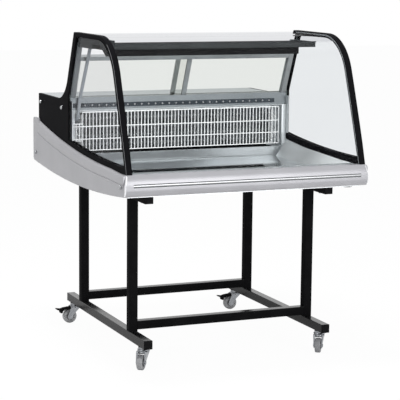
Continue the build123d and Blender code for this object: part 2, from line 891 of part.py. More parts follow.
def make_screws():
    turn = Rot(0, 90, 0)
    right = [Pos(x_panel, y, z) * turn * cap_screw() for y, z in screw_spots_panel()]
    right += [Pos(x_out, y, z) * turn * cap_screw() for y, z in screw_spots_bumper()]
    keep("cap_screws", right + [flip(screw) for screw in right])


def make_front_glass():
    back = glass_rear_y
    section = shield(glass_inset, bumper_top, back)
    section -= shield(glass_inset + glass_thickness, bumper_top - 1, back + 1)
    keep("front_glass", [prism(section, -x_in + glass_end_gap, x_in - glass_end_gap)])


# Base tray, foam slabs, welded liner and the deck that the goods lie on
def liner_sheets():
    front = bumper_back_y + well_front_wall
    rear = well_rear_y
    recess = well_rear_y + recess_depth
    return [
        (bumper_back_y, front, tray_top_front, tray_top_front + sheet),
        (front - sheet, front, well_floor - sheet, tray_top_front),
        (front, rear, well_floor - sheet, well_floor),
        (rear, rear + sheet, well_floor - sheet, upstand_top - sheet),
        (rear, recess + sheet, upstand_top - sheet, upstand_top),
        (recess, recess + sheet, upstand_top, recess_top),
        (rear, recess + sheet, recess_top, recess_top + sheet),
        (rear, rear + sheet, recess_top + sheet, worktop_under),
    ]


def foam_slabs():
    floor = stand_height + sheet
    front = bumper_back_y + well_front_wall - sheet
    rear = well_rear_y + sheet
    recess = well_rear_y + recess_depth + sheet
    return [
        (bumper_back_y + sheet, front, floor, tray_top_front),
        (front, rear, floor, well_floor - sheet),
        (rear, foam_rear_y, floor, upstand_top - sheet),
        (recess, foam_rear_y, upstand_top - sheet, recess_top + sheet),
        (rear, foam_rear_y, recess_top + sheet, worktop_under),
    ]


def make_well():
    inside = x_wall - sheet
    y0 = bumper_back_y
    y1 = housing_rear_y
    z0 = stand_height
    tray = box(-x_wall, x_wall, y0, y1, z0, z0 + tray_flange)
    tray -= box(-inside, inside, y0 + sheet, y1 - sheet, z0 + sheet, z0 + tray_flange + 1)
    tray += box(-x_wall, x_wall, y0, y0 + sheet, z0, tray_top_front)
    nut_room = stand_bolt_diameter / 2 + stand_bolt_clearance
    for x, y in bolt_places():
        tray -= rod_z(nut_room, x, y, z0 - 1, z0 + sheet + 1)
    keep("base_tray", [tray])
    pocket = stand_nut_height + 2
    pockets = [rod_z(stand_bolt_head, x, y, z0 + sheet - 1, z0 + sheet + pocket) for x, y in bolt_places()]
    keep("insulation", [box(-inside, inside, *slab) - pockets for slab in foam_slabs()])
    walls = [box(-inside, inside, *wall) for wall in liner_sheets()]
    front_y = bumper_back_y + well_front_wall - sheet
    recess_y = well_rear_y + recess_depth + sheet
    bend_y = slope_rear_y - liner_end_bend
    bend_z = side_top_height(bend_y)
    end_arc = ThreePointArc((front_y, side_top_height(front_y)),
                            (side_top_mid_y, side_top_height(side_top_mid_y)),
                            (bend_y, bend_z))
    turn_up = ThreePointArc((bend_y, bend_z),
                            (slope_rear_y - liner_end_bend * 0.25, bend_z + liner_end_bend * 0.3),
                            (slope_rear_y, bend_z + liner_end_bend))
    end_rest = Polyline((slope_rear_y, bend_z + liner_end_bend), (slope_rear_y, worktop_under),
                        (recess_y, worktop_under), (recess_y, well_floor - sheet),
                        (front_y, well_floor - sheet), (front_y, side_top_height(front_y)))
    end_sheet = prism(make_face([end_arc, turn_up, end_rest]), inside, x_wall)
    toe = inside - slope_run
    wall_y = bumper_back_y + well_front_wall
    near = make_face(Polyline((inside, wall_y, well_floor), (toe, wall_y, well_floor),
                              (inside, wall_y, side_top_height(wall_y)), close=True))
    away = make_face(Polyline((inside, slope_rear_y, well_floor), (toe, slope_rear_y, well_floor),
                              (inside, slope_rear_y, side_top_height(slope_rear_y)), close=True))
    slope = loft([near, away], ruled=True)
    cove_middle = (inside - cove_radius, well_rear_y - cove_radius)
    corner = Pos(inside - cove_radius / 2, well_rear_y - cove_radius / 2) * Rectangle(cove_radius, cove_radius)
    ring = corner & (Pos(*cove_middle) * (Circle(cove_radius) - Circle(cove_radius - sheet)))
    cove = Pos(0, 0, well_floor) * extrude(ring, kerb_bottom - well_floor)
    rib_room = prism(sill_rib_face(rest_gap), x_in - rest_gap, x_panel)
    end_sheet -= rib_room
    slope -= rib_room
    keep("liner", walls + [end_sheet, flip(end_sheet), slope, flip(slope), cove, flip(cove)])
    edge = toe - deck_clearance
    deck_front = wall_y + deck_clearance
    deck_rear = well_rear_y - deck_clearance
    deck = box(-edge, edge, deck_front, deck_rear, well_floor, deck_top)
    deck -= box(-edge + sheet, edge - sheet, deck_front + sheet, deck_rear - sheet,
                well_floor - 1, deck_top - sheet)
    keep("display_deck", [deck])
    feet = []
    for x in (-x_in + foot_inset_x, x_in - foot_inset_x):
        for y in (bumper_back_y + foot_inset_front, housing_rear_y - foot_inset_rear):
            feet.append(rod_z(foot_diameter / 2, x, y, z0 - foot_height, z0))
    keep("rubber_feet", feet)


# Rear kerb with its air strip, the wire guard and the evaporator behind it
def make_rear_wall():
    face_y = wall_face_y
    back_y = kerb_back_y
    kerb = outline([(face_y, kerb_bottom), (face_y, kerb_top), (well_rear_y, kerb_top),
                    (well_rear_y, ledge_top), (back_y, ledge_top), (back_y, worktop_under),
                    (back_y - sheet, worktop_under), (back_y - sheet, ledge_top - sheet),
                    (well_rear_y, ledge_top - sheet), (well_rear_y, kerb_bottom)])
    inside = x_wall - sheet
    keep("rear_wall_kerb", [prism(kerb, -inside, inside)])
    strip_x0 = strip_gap_left - x_wall
    strip_x1 = x_wall - strip_gap_right
    strip_y = face_y - strip_thickness
    strip = box(strip_x0, strip_x1, strip_y, face_y,
                strip_middle - strip_height / 2, strip_middle + strip_height / 2)
    count = int((strip_x1 - strip_x0) / strip_hole_pitch)
    first = (strip_x0 + strip_x1) / 2 - (count - 1) * strip_hole_pitch / 2
    holes = []
    for i in range(count):
        x = first + i * strip_hole_pitch
        holes.append(rod_y(strip_hole_diameter / 2, x, strip_y - 1, face_y + 1, strip_middle))
    keep("air_outlet_strip", [strip - holes])


def make_guard():
    back = well_rear_y - sheet - guard_stand_off + guard_wire
    front = back - guard_wire
    levels = [guard_bottom] + [guard_bottom + lift for lift in guard_rail_lifts] + [guard_top - guard_wire]
    guard_width = guard_right_x - guard_left_x
    middle_x = (guard_left_x + guard_right_x) / 2
    net = Pos(middle_x, (guard_top + guard_bottom) / 2) * Rectangle(guard_width, guard_top - guard_bottom)
    columns = int((guard_width - guard_wire) / guard_pitch)
    gap = (guard_width - guard_wire) / columns - guard_wire
    holes = []
    for low, high in zip(levels, levels[1:]):
        for i in range(columns):
            x = guard_left_x + guard_wire + gap / 2 + i * (gap + guard_wire)
            z0 = low + guard_wire
            holes.append(Pos(x, (z0 + high) / 2) * Rectangle(gap, high - z0))
    net = Pos(0, back, 0) * extrude(Plane.XZ * (net - holes), guard_wire)
    tab_x = guard_tab_gap - x_wall
    tab_step = (guard_left_x - tab_x) / guard_tab_wires
    for level in levels[1:-1] + [guard_bottom + guard_tab_low, guard_bottom + guard_tab_high]:
        net += box(tab_x, guard_left_x + guard_wire, front, back, level, level + guard_wire)
    for i in range(guard_tab_wires):
        x = tab_x + i * tab_step
        net += box(x, x + guard_wire, front, back, guard_bottom + guard_tab_low, guard_bottom + guard_tab_high)
    face_y = well_rear_y - sheet
    hook = box(guard_left_x, guard_right_x, front, face_y, guard_top - guard_wire, guard_top)
    bar = box(guard_bar_gap_left - x_wall, x_wall - guard_bar_gap_right, face_y - guard_bar_thickness, face_y,
              kerb_bottom, kerb_bottom + guard_bar_height)
    drop = box(guard_left_x, guard_right_x, face_y - guard_bar_thickness, face_y,
               guard_top - guard_wire, kerb_bottom)
    keep("wire_guard", [net + hook + drop + bar])


def coil_rows_at():
    back = well_rear_y + recess_depth - coil_back_gap
    y_far = back - (coil_fin_depth - coil_columns_pitch) / 2
    y_near = y_far - coil_columns_pitch
    middle = (upstand_top + recess_top) / 2
    heights = [middle + (i - (coil_rows - 1) / 2) * coil_pitch for i in range(coil_rows)]
    return [(y_near, z) for z in heights] + [(y_far, z) for z in reversed(heights)]


def make_evaporator():
    rows = coil_rows_at()
    radius = coil_tube_diameter / 2
    back = well_rear_y + recess_depth - coil_back_gap
    front = back - coil_fin_depth
    half_height = coil_rows * coil_pitch / 2
    middle = (upstand_top + recess_top) / 2
    pack = box(coil_left_x, coil_right_x, front, back, middle - half_height, middle + half_height)
    count = int((coil_right_x - coil_left_x) / coil_fin_pitch)
    slots = []
    for i in range(count):
        x0 = coil_left_x + coil_fin_thickness + i * coil_fin_pitch
        slots.append(box(x0, x0 + coil_fin_pitch - coil_fin_thickness, front - 1, back - coil_fin_web,
                         middle - half_height - 1, middle + half_height + 1))
    bores = [rod_x(radius + coil_tube_clearance, coil_left_x - 1, coil_right_x + 1, y, z) for y, z in rows]
    keep("evaporator_fins", [pack - slots - bores])
    left = coil_left_x - coil_plate
    right = coil_right_x + coil_plate
    path = []
    for i, (y, z) in enumerate(rows):
        start, end = (left, right) if i % 2 == 0 else (right, left)
        path.append(Line((start, y, z), (end, y, z)))
        if i + 1 < len(rows):
            ny, nz = rows[i + 1]
            bulge = math.dist((y, z), (ny, nz)) / 2
            out = bulge if end == right else -bulge
            path.append(ThreePointArc((end, y, z), (end + out, (y + ny) / 2, (z + nz) / 2), (end, ny, nz)))
    section = Plane(origin=path[0] @ 0, z_dir=path[0] % 0) * Circle(radius)
    keep("evaporator_tubes", [sweep(section, path=Wire(path))])
    plates = []
    plate_back = well_rear_y + recess_depth
    for x0 in (coil_left_x - coil_plate, coil_right_x):
        plate = box(x0, x0 + coil_plate, front, plate_back, middle - half_height, middle + half_height)
        holes = [rod_x(radius + coil_tube_clearance, x0 - 1, x0 + coil_plate + 1, y, z) for y, z in rows]
        plates.append(plate - holes)
    keep("evaporator_brackets", plates)


# Leaning uprights, door tracks and sliding doors
def leaning(x0, x1, n0, n1, w0, w1):
    block = Pos((x0 + x1) / 2, (n0 + n1) / 2, (w0 + w1) / 2) * Box(x1 - x0, n1 - n0, w1 - w0)
    return door_plane * block


def upright_block(side):
    x0 = upright_middle_x - upright_width / 2
    x1 = upright_middle_x + upright_width / 2
    shaft = leaning(x0, x1, 0, upright_depth, -far / 10, far / 5)
    shaft = shaft & box(x0, x1, -far, far, ledge_top, hood_top)
    return shaft if side > 0 else flip(shaft)


def door_layers():
    first = track_depth / 2 - door_pitch / 2
    return first, first + door_pitch


def make_doors():
    half = upright_inner_x
    keep("rear_uprights", [upright_block(-1), upright_block(1)])
    groove = door_glass / 2 + door_groove_clearance
    groove_floor = track_height - door_groove_depth
    low = leaning(-half, half, 0, track_depth, -track_depth, track_height)
    low = low & box(-half, half, -far, far, ledge_top, far)
    top_bottom = door_opening
    top_roof = top_bottom + door_top_lap + door_lift_room
    high = leaning(-half, half, 0, track_depth, top_bottom, top_bottom + top_track_height)
    for layer in door_layers():
        low -= leaning(-half - 1, half + 1, layer - groove, layer + groove, groove_floor, track_height + 1)
        high -= leaning(-half - 1, half + 1, layer - groove, layer + groove, top_bottom - 1, top_roof)
    keep("door_tracks", [low, high])
    pane_low = groove_floor + rest_gap
    pane_high = top_bottom + door_top_lap
    stile_low = track_height + stile_track_gap
    stile_high = top_bottom - stile_track_gap
    spans = {
        "left": (-half + door_end_gap, door_overlap_left, door_overlap_left + stile_lip - stile_width),
        "right": (-door_overlap_right, half - door_end_gap, -door_overlap_right - stile_lip),
    }
    half_stile = stile_thickness / 2
    for (name, (x0, x1, a)), layer in zip(spans.items(), door_layers()):
        pane = leaning(x0, x1, layer - door_glass / 2, layer + door_glass / 2, pane_low, pane_high)
        keep("door_glass_" + name, [pane])
        bar = leaning(a, a + stile_width, layer - half_stile, layer + half_stile, stile_low, stile_high)
        keep("door_stile_" + name, [bar - pane])


# Lamp canopy between the end panels
def make_canopy():
    half = hood_half
    hood_back = hood_front_y + hood_depth
    bar = box(-half, half, hood_front_y, hood_back, hood_bottom, hood_top)
    bar -= box(-half - 1, half + 1, hood_front_y + hood_wall, hood_back - hood_wall,
               hood_bottom + hood_wall, hood_top - hood_wall)
    arms = []
    arm_front = hood_back - hood_wall
    for side in (-1, 1):
        x0 = side * (half - hood_arm_lap)
        x1 = x0 + side * hood_arm_width
        arm = box(min(x0, x1), max(x0, x1), arm_front, upright_front_y, hood_bottom, hood_top)
        behind = leaning(min(x0, x1) - 1, max(x0, x1) + 1, 0, far / 4, -far / 10, far / 5)
        arms.append(arm - behind)
    keep("lamp_hood", [bar + arms])
    box_half = lamp_box_half
    rear_y = hood_back + lamp_box_depth
    wall = lamp_box_wall
    slope = (lamp_box_rear_bottom - lamp_box_bottom) / lamp_box_depth
    shell = outline([(hood_back, lamp_box_bottom), (hood_back, hood_top), (rear_y, hood_top),
                     (rear_y, lamp_box_rear_bottom)])
    open_below = far / 100
    hollow = outline([(hood_back + wall, lamp_box_bottom - open_below), (hood_back + wall, hood_top - wall),
                      (rear_y - wall, hood_top - wall), (rear_y - wall, lamp_box_rear_bottom - open_below)])
    case = prism(shell, -box_half, box_half) - prism(hollow, -box_half + wall, box_half - wall)
    keep("lamp_box", [case])
    lens_y0 = hood_back + wall + lamp_lens_clearance
    lens_y1 = rear_y - wall - lamp_lens_clearance
    rise = lamp_lens_thickness

    def slope_at(y):
        return lamp_box_bottom + (y - hood_back) * slope

    lens = outline([(lens_y0, slope_at(lens_y0)), (lens_y1, slope_at(lens_y1)),
                    (lens_y1, slope_at(lens_y1) + rise), (lens_y0, slope_at(lens_y0) + rise)])
    lens_half = box_half - wall - lamp_lens_clearance
    keep("lamp_lens", [prism(lens, -lens_half, lens_half)])
    tube_y = hood_back + wall + lamp_back_gap + lamp_tube_diameter / 2
    tube_z = hood_top - wall - lamp_back_gap - lamp_tube_diameter / 2
    tube_half = lamp_tube_half
    glass = rod_x(lamp_tube_diameter / 2, -tube_half, tube_half, tube_y, tube_z)
    holders = []
    for x0, x1 in ((-box_half + wall, -tube_half), (tube_half, box_half - wall)):
        holder = box(x0, x1, tube_y - lamp_tube_diameter / 2, tube_y + lamp_tube_diameter / 2,
                     tube_z - lamp_tube_diameter / 2, hood_top - wall)
        holders.append(holder)
    keep("lamp_tube", [glass] + holders)
    wiring_y = hood_front_y - wiring_box_overhang
    wiring_back = wiring_y + wiring_box_length
    casing = box(rest_gap - x_wall, -half + wiring_box_width, wiring_y, wiring_back,
                 hood_top, hood_top + wiring_box_height)
    ahead = conduit_gap / lean_cos
    entry_y = wiring_back - conduit_top_lead
    route = [
        (conduit_top_inset - x_wall, entry_y, hood_top),
        (conduit_top_inset - x_wall, upright_front_y - ahead - (hood_bottom - ledge_top) * lean_tan, hood_bottom),
        (conduit_sill_inset - x_wall, wall_face_y - conduit_gap, kerb_top),
        (conduit_kerb_inset - x_wall, wall_face_y - conduit_gap, kerb_bottom),
        (conduit_end_inset - x_wall, wall_face_y - conduit_gap, kerb_bottom - conduit_tail_drop),
        (conduit_end_inset - x_wall, wall_face_y - conduit_gap + conduit_tail, kerb_bottom - conduit_tail_drop),
    ]
    path = FilletPolyline(*route, radius=conduit_bend)
    section = Plane(origin=path @ 0, z_dir=path % 0) * Circle(conduit_diameter / 2)
    keep("lamp_wiring_box", [casing, sweep(section, path=path)])


# Worktop over the machine space and the louvred cover behind it
def make_rear():
    top = box(-x_wall, x_wall, kerb_back_y, housing_rear_y, worktop_under, housing_top)
    top += box(-x_wall, x_wall, housing_rear_y - sheet, housing_rear_y,
               housing_top - worktop_flange, worktop_under)
    keep("worktop", [top])
    half = x_in + cover_overlap
    cover = box(-half, half, cover_y, cover_face_y, cover_bottom, cover_top)
    slots = []
    for i in range(louvre_count):
        z0 = louvre_bottom + i * louvre_pitch
        slots.append(box(condenser_x - louvre_width / 2, condenser_x + louvre_width / 2,
                         cover_y - 1, cover_face_y + 1, z0, z0 + louvre_height))
    cover -= slots
    cover -= rod_y(gland_bore / 2, gland_x, cover_y - 1, cover_face_y + 1, gland_z)
    keep("rear_cover", [cover])
    flange = rod_y(gland_flange_diameter / 2, gland_x, cover_face_y, cover_face_y + gland_flange, gland_z)
    flange += rod_y(gland_neck_diameter / 2, gland_x, cover_face_y + gland_flange,
                    cover_face_y + gland_flange + gland_neck_length, gland_z)
    flange -= rod_y(gland_bore / 2, gland_x, cover_face_y - 1,
                    cover_face_y + gland_flange + gland_neck_length + 1, gland_z)
    keep("cable_gland", [flange])


def make_machine():
    floor = stand_height + sheet
    plate_z = floor + mount_height
    mounts = []
    for side_x in (-1, 1):
        for side_y in (-1, 1):
            x = compressor_x + side_x * (compressor_plate_x / 2 - mount_inset)
            y = compressor_y + side_y * (compressor_plate_y / 2 - mount_inset)
            mounts.append(rod_z(mount_diameter / 2, x, y, floor, plate_z))
    plate = Pos(compressor_x, compressor_y, plate_z + compressor_plate / 2)
    plate = plate * Box(compressor_plate_x, compressor_plate_y, compressor_plate)
    can = Cylinder(compressor_radius, compressor_height)
    can = fillet(can.edges().filter_by(GeomType.CIRCLE), compressor_round)
    can_low = plate_z + compressor_plate
    can = Pos(compressor_x, compressor_y, can_low + compressor_height / 2) * can
    keep("compressor", mounts + [plate, can])
    x0 = condenser_x - condenser_width / 2
    x1 = condenser_x + condenser_width / 2
    rear = housing_rear_y - sheet - condenser_rear_gap
    front = rear - condenser_depth
    top = floor + condenser_height
    block = box(x0, x1, front, rear, floor, top)
    slots = []
    for i in range(int(condenser_width / condenser_fin_pitch)):
        start = x0 + condenser_fin_thickness + i * condenser_fin_pitch
        slots.append(box(start, start + condenser_fin_pitch - condenser_fin_thickness, front - 1,
                         rear - condenser_web, floor + condenser_web, top + 1))
    shroud = box(x0, x1, front - shroud_thickness, front, floor, top + condenser_web)
    shroud -= rod_y(shroud_bore / 2, condenser_x, front - shroud_thickness - 1, front + 1, fan_height)
    keep("condenser", [block - slots, shroud])
    hub_back = front - shroud_thickness - fan_gap
    hub_front = hub_back - fan_hub_length
    hub_middle = (hub_back + hub_front) / 2
    blades = rod_y(fan_hub_diameter / 2, condenser_x, hub_front, hub_back, fan_height)
    blade_length = fan_diameter / 2 - fan_hub_diameter / 4
    for i in range(fan_blades_count):
        blade = Box(fan_blade_width, fan_blade_thickness, blade_length)
        blade = Pos(0, 0, fan_hub_diameter / 4 + blade_length / 2) * Rot(0, 0, fan_blade_angle) * blade
        blades += Pos(condenser_x, hub_middle, fan_height) * Rot(0, i * 360 / fan_blades_count, 0) * blade
    blades -= rod_y(motor_shaft / 2 + motor_shaft_clearance, condenser_x, hub_front - far / 10,
                    hub_back + 1, fan_height)
    keep("fan_blades", [blades])
    motor_back = hub_front - motor_gap
    motor_front = motor_back - motor_length
    motor = rod_y(motor_diameter / 2, condenser_x, motor_front, motor_back, fan_height)
    motor += rod_y(motor_shaft / 2, condenser_x, motor_back, hub_back, fan_height)
    motor += box(condenser_x - motor_pedestal_width / 2, condenser_x + motor_pedestal_width / 2,
                 motor_front, motor_back, floor, fan_height)
    keep("fan_motor", [motor])
    make_pipes(can_low, front)


def make_pipes(can_low, condenser_front):
    radius = pipe_diameter / 2
    can_top = can_low + compressor_height
    gas_z = can_top + 3 * pipe_bend
    turn_x = condenser_x - condenser_width / 2 + 2 * radius
    end_y = condenser_front - shroud_thickness
    discharge = [(compressor_x, compressor_y, can_top), (compressor_x, compressor_y, gas_z),
                 (turn_x, compressor_y, gas_z), (turn_x, end_y, gas_z)]
    suction_x = compressor_x - compressor_radius - 2 * pipe_bend
    suction = [(compressor_x - compressor_radius, compressor_y, can_low + compressor_height / 2),
               (suction_x, compressor_y, can_low + compressor_height / 2),
               (suction_x, foam_rear_y, can_low + compressor_height / 2)]
    tubes = []
    for route in (discharge, suction):
        path = FilletPolyline(*route, radius=pipe_bend)
        section = Plane(origin=path @ 0, z_dir=path % 0) * Circle(radius)
        tubes.append(sweep(section, path=path))
    keep("refrigerant_pipes", tubes)


# Switches and thermostat on the rear cover
def rocker_places():
    return {"main": switch_plate_x - rocker_spacing, "lamp": switch_plate_x}


def make_controls():
    face = cover_face_y + switch_plate_depth
    plate = box(switch_plate_x - switch_plate_width / 2, switch_plate_x + switch_plate_width / 2,
                cover_face_y, face,
                switch_plate_z - switch_plate_height / 2, switch_plate_z + switch_plate_height / 2)
    half_x = rocker_width / 2
    half_z = rocker_height / 2
    back = face + rocker_proud - rocker_depth
    for name, x in rocker_places().items():
        plate -= box(x - half_x - rocker_clearance, x + half_x + rocker_clearance,
                     back - rocker_swing_room, face + 1,
                     switch_plate_z - half_z - rocker_swing_room, switch_plate_z + half_z + rocker_swing_room)
        rocker = box(x - half_x, x + half_x, back, face + rocker_proud,
                     switch_plate_z - half_z, switch_plate_z + half_z)
        pin_y = (back + face + rocker_proud) / 2
        pin_reach = half_x + rocker_clearance + rocker_pin_length
        pin_radius = rocker_pin_diameter / 2
        hole_reach = pin_reach + rocker_clearance
        hole_radius = pin_radius + rocker_pin_clearance
        rocker += rod_x(pin_radius, x - pin_reach, x + pin_reach, pin_y, switch_plate_z)
        plate -= rod_x(hole_radius, x - hole_reach, x + hole_reach, pin_y, switch_plate_z)
        keep("rocker_" + name, [rocker])
    knob_x = switch_plate_x + knob_offset
    plate += rod_y(knob_post_diameter / 2, knob_x, face, face + knob_post_length, switch_plate_z)
    keep("switch_plate", [plate])
    knob = rod_y(knob_diameter / 2, knob_x, face + rest_gap, face + rest_gap + knob_height, switch_plate_z)
    knob_face = face + rest_gap + knob_height
    knob += box(knob_x - knob_ridge / 2, knob_x + knob_ridge / 2, knob_face, knob_face + knob_ridge / 2,
                switch_plate_z, switch_plate_z + knob_diameter / 2 - 1)
    knob -= rod_y(knob_post_diameter / 2 + knob_clearance, knob_x, face, face + knob_post_length + rest_gap,
                  switch_plate_z)
    keep("thermostat_knob", [knob])


make_stand()
make_castors()
make_end_panels()
make_bumpers()
make_screws()
make_front_glass()
make_well()
make_rear_wall()
make_guard()
make_evaporator()
make_doors()
make_canopy()
make_rear()
make_machine()
make_controls()

os.makedirs("parts", exist_ok=True)
for name, pieces in nodes.items():
    shape = pieces[0] if len(pieces) == 1 else Compound(children=pieces)
    export_step(shape, os.path.join("parts", name + ".step"))
print(len(nodes), "nodes written")
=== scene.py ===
import json
import math
import bmesh
import bpy
from mathutils import Matrix, Vector

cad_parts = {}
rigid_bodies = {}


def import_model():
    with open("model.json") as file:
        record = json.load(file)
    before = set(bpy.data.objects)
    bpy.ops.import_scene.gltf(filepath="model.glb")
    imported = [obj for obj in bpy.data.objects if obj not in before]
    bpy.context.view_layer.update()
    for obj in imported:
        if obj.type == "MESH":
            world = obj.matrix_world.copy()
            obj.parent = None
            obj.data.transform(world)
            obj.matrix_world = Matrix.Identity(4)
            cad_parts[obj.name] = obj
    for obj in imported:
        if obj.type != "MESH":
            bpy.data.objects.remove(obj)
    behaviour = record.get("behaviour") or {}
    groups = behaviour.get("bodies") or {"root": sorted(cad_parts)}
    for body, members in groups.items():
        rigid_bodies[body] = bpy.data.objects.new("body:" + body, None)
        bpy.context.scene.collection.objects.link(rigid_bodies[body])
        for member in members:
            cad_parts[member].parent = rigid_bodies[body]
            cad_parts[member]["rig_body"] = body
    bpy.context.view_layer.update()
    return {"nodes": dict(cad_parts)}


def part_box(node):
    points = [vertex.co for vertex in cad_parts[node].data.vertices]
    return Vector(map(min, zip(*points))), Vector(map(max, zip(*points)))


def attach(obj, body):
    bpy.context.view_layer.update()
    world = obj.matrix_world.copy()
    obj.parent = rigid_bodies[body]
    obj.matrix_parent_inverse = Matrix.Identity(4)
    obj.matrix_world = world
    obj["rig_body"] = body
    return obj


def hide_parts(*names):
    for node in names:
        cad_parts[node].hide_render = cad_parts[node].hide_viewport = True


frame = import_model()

nodes = frame["nodes"]
print("frame loaded:", len(nodes), "nodes")


# materials

def srgb(hexColour):
    values = [int(hexColour[i:i + 2], 16) / 255 for i in (1, 3, 5)]
    return tuple(v / 12.92 if v <= 0.04045 else ((v + 0.055) / 1.055) ** 2.4 for v in values) + (1.0,)


def addNode(tree, kind, settings=None, links=None):
    node = tree.nodes.new(kind)
    for key, value in (settings or {}).items():
        if isinstance(key, int) or key in node.inputs:
            node.inputs[key].default_value = value
        else:
            setattr(node, key, value)
    for key, socket in (links or {}).items():
        tree.links.new(socket, node.inputs[key])
    return node


def startMaterial(name, settings):
    material = bpy.data.materials.new(name)
    material.use_nodes = True
    tree = material.node_tree
    tree.nodes.clear()
    shader = addNode(tree, "ShaderNodeBsdfPrincipled", settings)
    addNode(tree, "ShaderNodeOutputMaterial", None, {"Surface": shader.outputs["BSDF"]})
    coords = addNode(tree, "ShaderNodeTexCoord")
    return material, tree, shader, coords.outputs["Object"]


grainLook = {
    "low": 0.3,  # between these two lies nearly all of the noise
    "high": 0.7,
    "octaves": 3.0,
    "relief": 0.0004,  # metres
}


def mottle(tree, coords, scaleMm, low, high, stretch=(1, 1, 1)):
    # noise of a real size brought between two values, and the noise itself
    place = addNode(tree, "ShaderNodeMapping", {"Scale": stretch}, {"Vector": coords})
    noise = addNode(tree, "ShaderNodeTexNoise", {"Scale": 1000 / scaleMm, "Detail": grainLook["octaves"]},
                    {"Vector": place.outputs["Vector"]})
    span = addNode(tree, "ShaderNodeMapRange",
                   {"From Min": grainLook["low"], "From Max": grainLook["high"],
                    "To Min": low, "To Max": high},
                   {"Value": noise.outputs["Fac"]})
    return span.outputs["Result"], noise.outputs["Fac"]


def surfaced(name, first, second, patchMm, rough, grainMm, bump, settings=None, stretch=(1, 1, 1)):
    # two close tones in soft patches, roughness that follows a finer grain, and that grain as relief
    material, tree, shader, coords = startMaterial(name, settings or {})
    patch = mottle(tree, coords, patchMm, 0.0, 1.0)[0]
    # on a colour mix, sockets 6 and 7 are its two colours and output 2 is the mixed one
    tone = addNode(tree, "ShaderNodeMix", {"data_type": "RGBA", 6: srgb(first), 7: srgb(second)},
                   {0: patch})
    tree.links.new(tone.outputs[2], shader.inputs["Base Color"])
    gloss, grain = mottle(tree, coords, grainMm, rough[0], rough[1], stretch)
    tree.links.new(gloss, shader.inputs["Roughness"])
    if bump:
        relief = addNode(tree, "ShaderNodeBump", {"Strength": bump, "Distance": grainLook["relief"]},
                         {"Height": grain})
        tree.links.new(relief.outputs["Normal"], shader.inputs["Normal"])
    return material


dull = {"Specular IOR Level": 0.003}
metal = {"Metallic": 1.0}
alongX = (0.03, 1, 1)
alongZ = (1, 1, 0.05)

# powder coat: even black, with a fine orange peel that breaks up the highlights
powderBlack = surfaced("powder_coat_black", "#101011", "#151516", 60, (0.34, 0.46), 2.2, 0.12, dull)
# the same coat on faces that look up: lighter, as a painted sheen of the room, and smoother
powderTopSheen = surfaced("powder_coat_black_painted_sheen", "#151516", "#1b1b1c", 60, (0.16, 0.24), 2.2, 0.05)
# and on the upright sides of the foot rails: lighter, as a painted reflection of the floor
powderSideReflection = surfaced("powder_coat_black_side_painted_reflection", "#151516", "#1b1b1c", 60, (0.2, 0.3), 2.2, 0.05,
                      {"Specular IOR Level": 0.075})
# moulded ABS, satin black: deep and even, faint flow marks
absBlack = surfaced("abs_black_satin", "#121214", "#161618", 90, (0.36, 0.46), 1.6, 0.04, dull)
# the same moulding where its outer edge is rounded, pale grey as a painted highlight
absEdgeHighlight = surfaced("abs_black_rubbed_edge", "#8f9194", "#77797c", 22, (0.25, 0.35), 1.6, 0.03)
# moulded nylon: black and rather dull
nylonBlack = surfaced("nylon_black", "#141415", "#1c1c1d", 14, (0.45, 0.6), 1.2, 0.15, dull)
# silver paint over ABS: pale grey with a weak metallic sheen
silverPaint = surfaced("silver_paint_abs", "#9c9ca0", "#a2a2a6", 120, (0.3, 0.38), 1.4, 0.03,
                       {"Metallic": 0.35})
# the same paint on the rounded front corner, near white as a painted highlight
silverEdgeHighlight = surfaced("silver_paint_painted_highlight", "#e4e4e6", "#dcdcdf", 30, (0.25, 0.35), 1.4, 0.03,
                      {"Metallic": 0.2})
# rolled aluminium strip: pale, mirrors the lamps in a long streak
beadSteel = surfaced("aluminium_strip", "#a9aaac", "#b3b4b6", 140, (0.3, 0.38), 1.5, 0.0, metal, alongX)
# bright zinc plate: cool white metal with cloudy roughness
zincPlate = surfaced("zinc_plate", "#9b9da0", "#808387", 9, (0.14, 0.26), 3.0, 0.06, metal)
# grey rubber tread and polypropylene hub
treadGrey = surfaced("tpe_tread_grey", "#76777a", "#828385", 12, (0.55, 0.7), 1.4, 0.12)
hubGrey = surfaced("pp_hub_grey", "#8f9092", "#9a9b9d", 15, (0.4, 0.5), 1.4, 0.05)
# stainless sheet, brushed along X: long fine scratches in the gloss
steelBrushed = surfaced("stainless_brushed", "#dfe2e4", "#e6e9eb", 160, (0.42, 0.5), 1.5, 0.0,
                        metal, alongX)
# the same sheet on the worktop, scoured grey by wiping
steelWorn = surfaced("stainless_worktop", "#a9adb0", "#b3b7ba", 160, (0.42, 0.5), 1.5, 0.0, metal, alongX)
# rolled bright stainless: mirrors the cooler softly, cloudy over a hand's width
steelPolished = surfaced("stainless_polished", "#dfe2e4", "#e3e6e8", 300, (0.05, 0.065), 40.0, 0.0, metal)
# satin sheet of the rear wall: cooler, and darker than the well as painted shade
steelSatinShaded = surfaced("stainless_satin_painted_shade", "#7d8285", "#868b8e", 160, (0.3, 0.4), 1.5, 0.0, metal, alongX)
# cut polyurethane foam: dull cream with open pores
foamCream = surfaced("pu_foam", "#d9c88f", "#c8b476", 25, (0.8, 0.95), 3.0, 0.6)
# epoxy-coated wire: clean white with a soft shine
whiteEpoxy = surfaced("epoxy_wire_white", "#f2f3f3", "#f8f8f8", 30, (0.3, 0.42), 2.0, 0.04)
# fin stock: thin plain aluminium, half dull, so the gaps between the fins stay dark
finStock = surfaced("fin_aluminium", "#7d8285", "#999ea1", 30, (0.42, 0.55), 2.0, 0.05, {"Metallic": 0.4})
# drawn aluminium tube: pale and half matt
tubeAluminium = surfaced("drawn_aluminium", "#b9bcbe", "#c6c8c9", 25, (0.3, 0.42), 2.0, 0.04,
                         {"Metallic": 0.55})
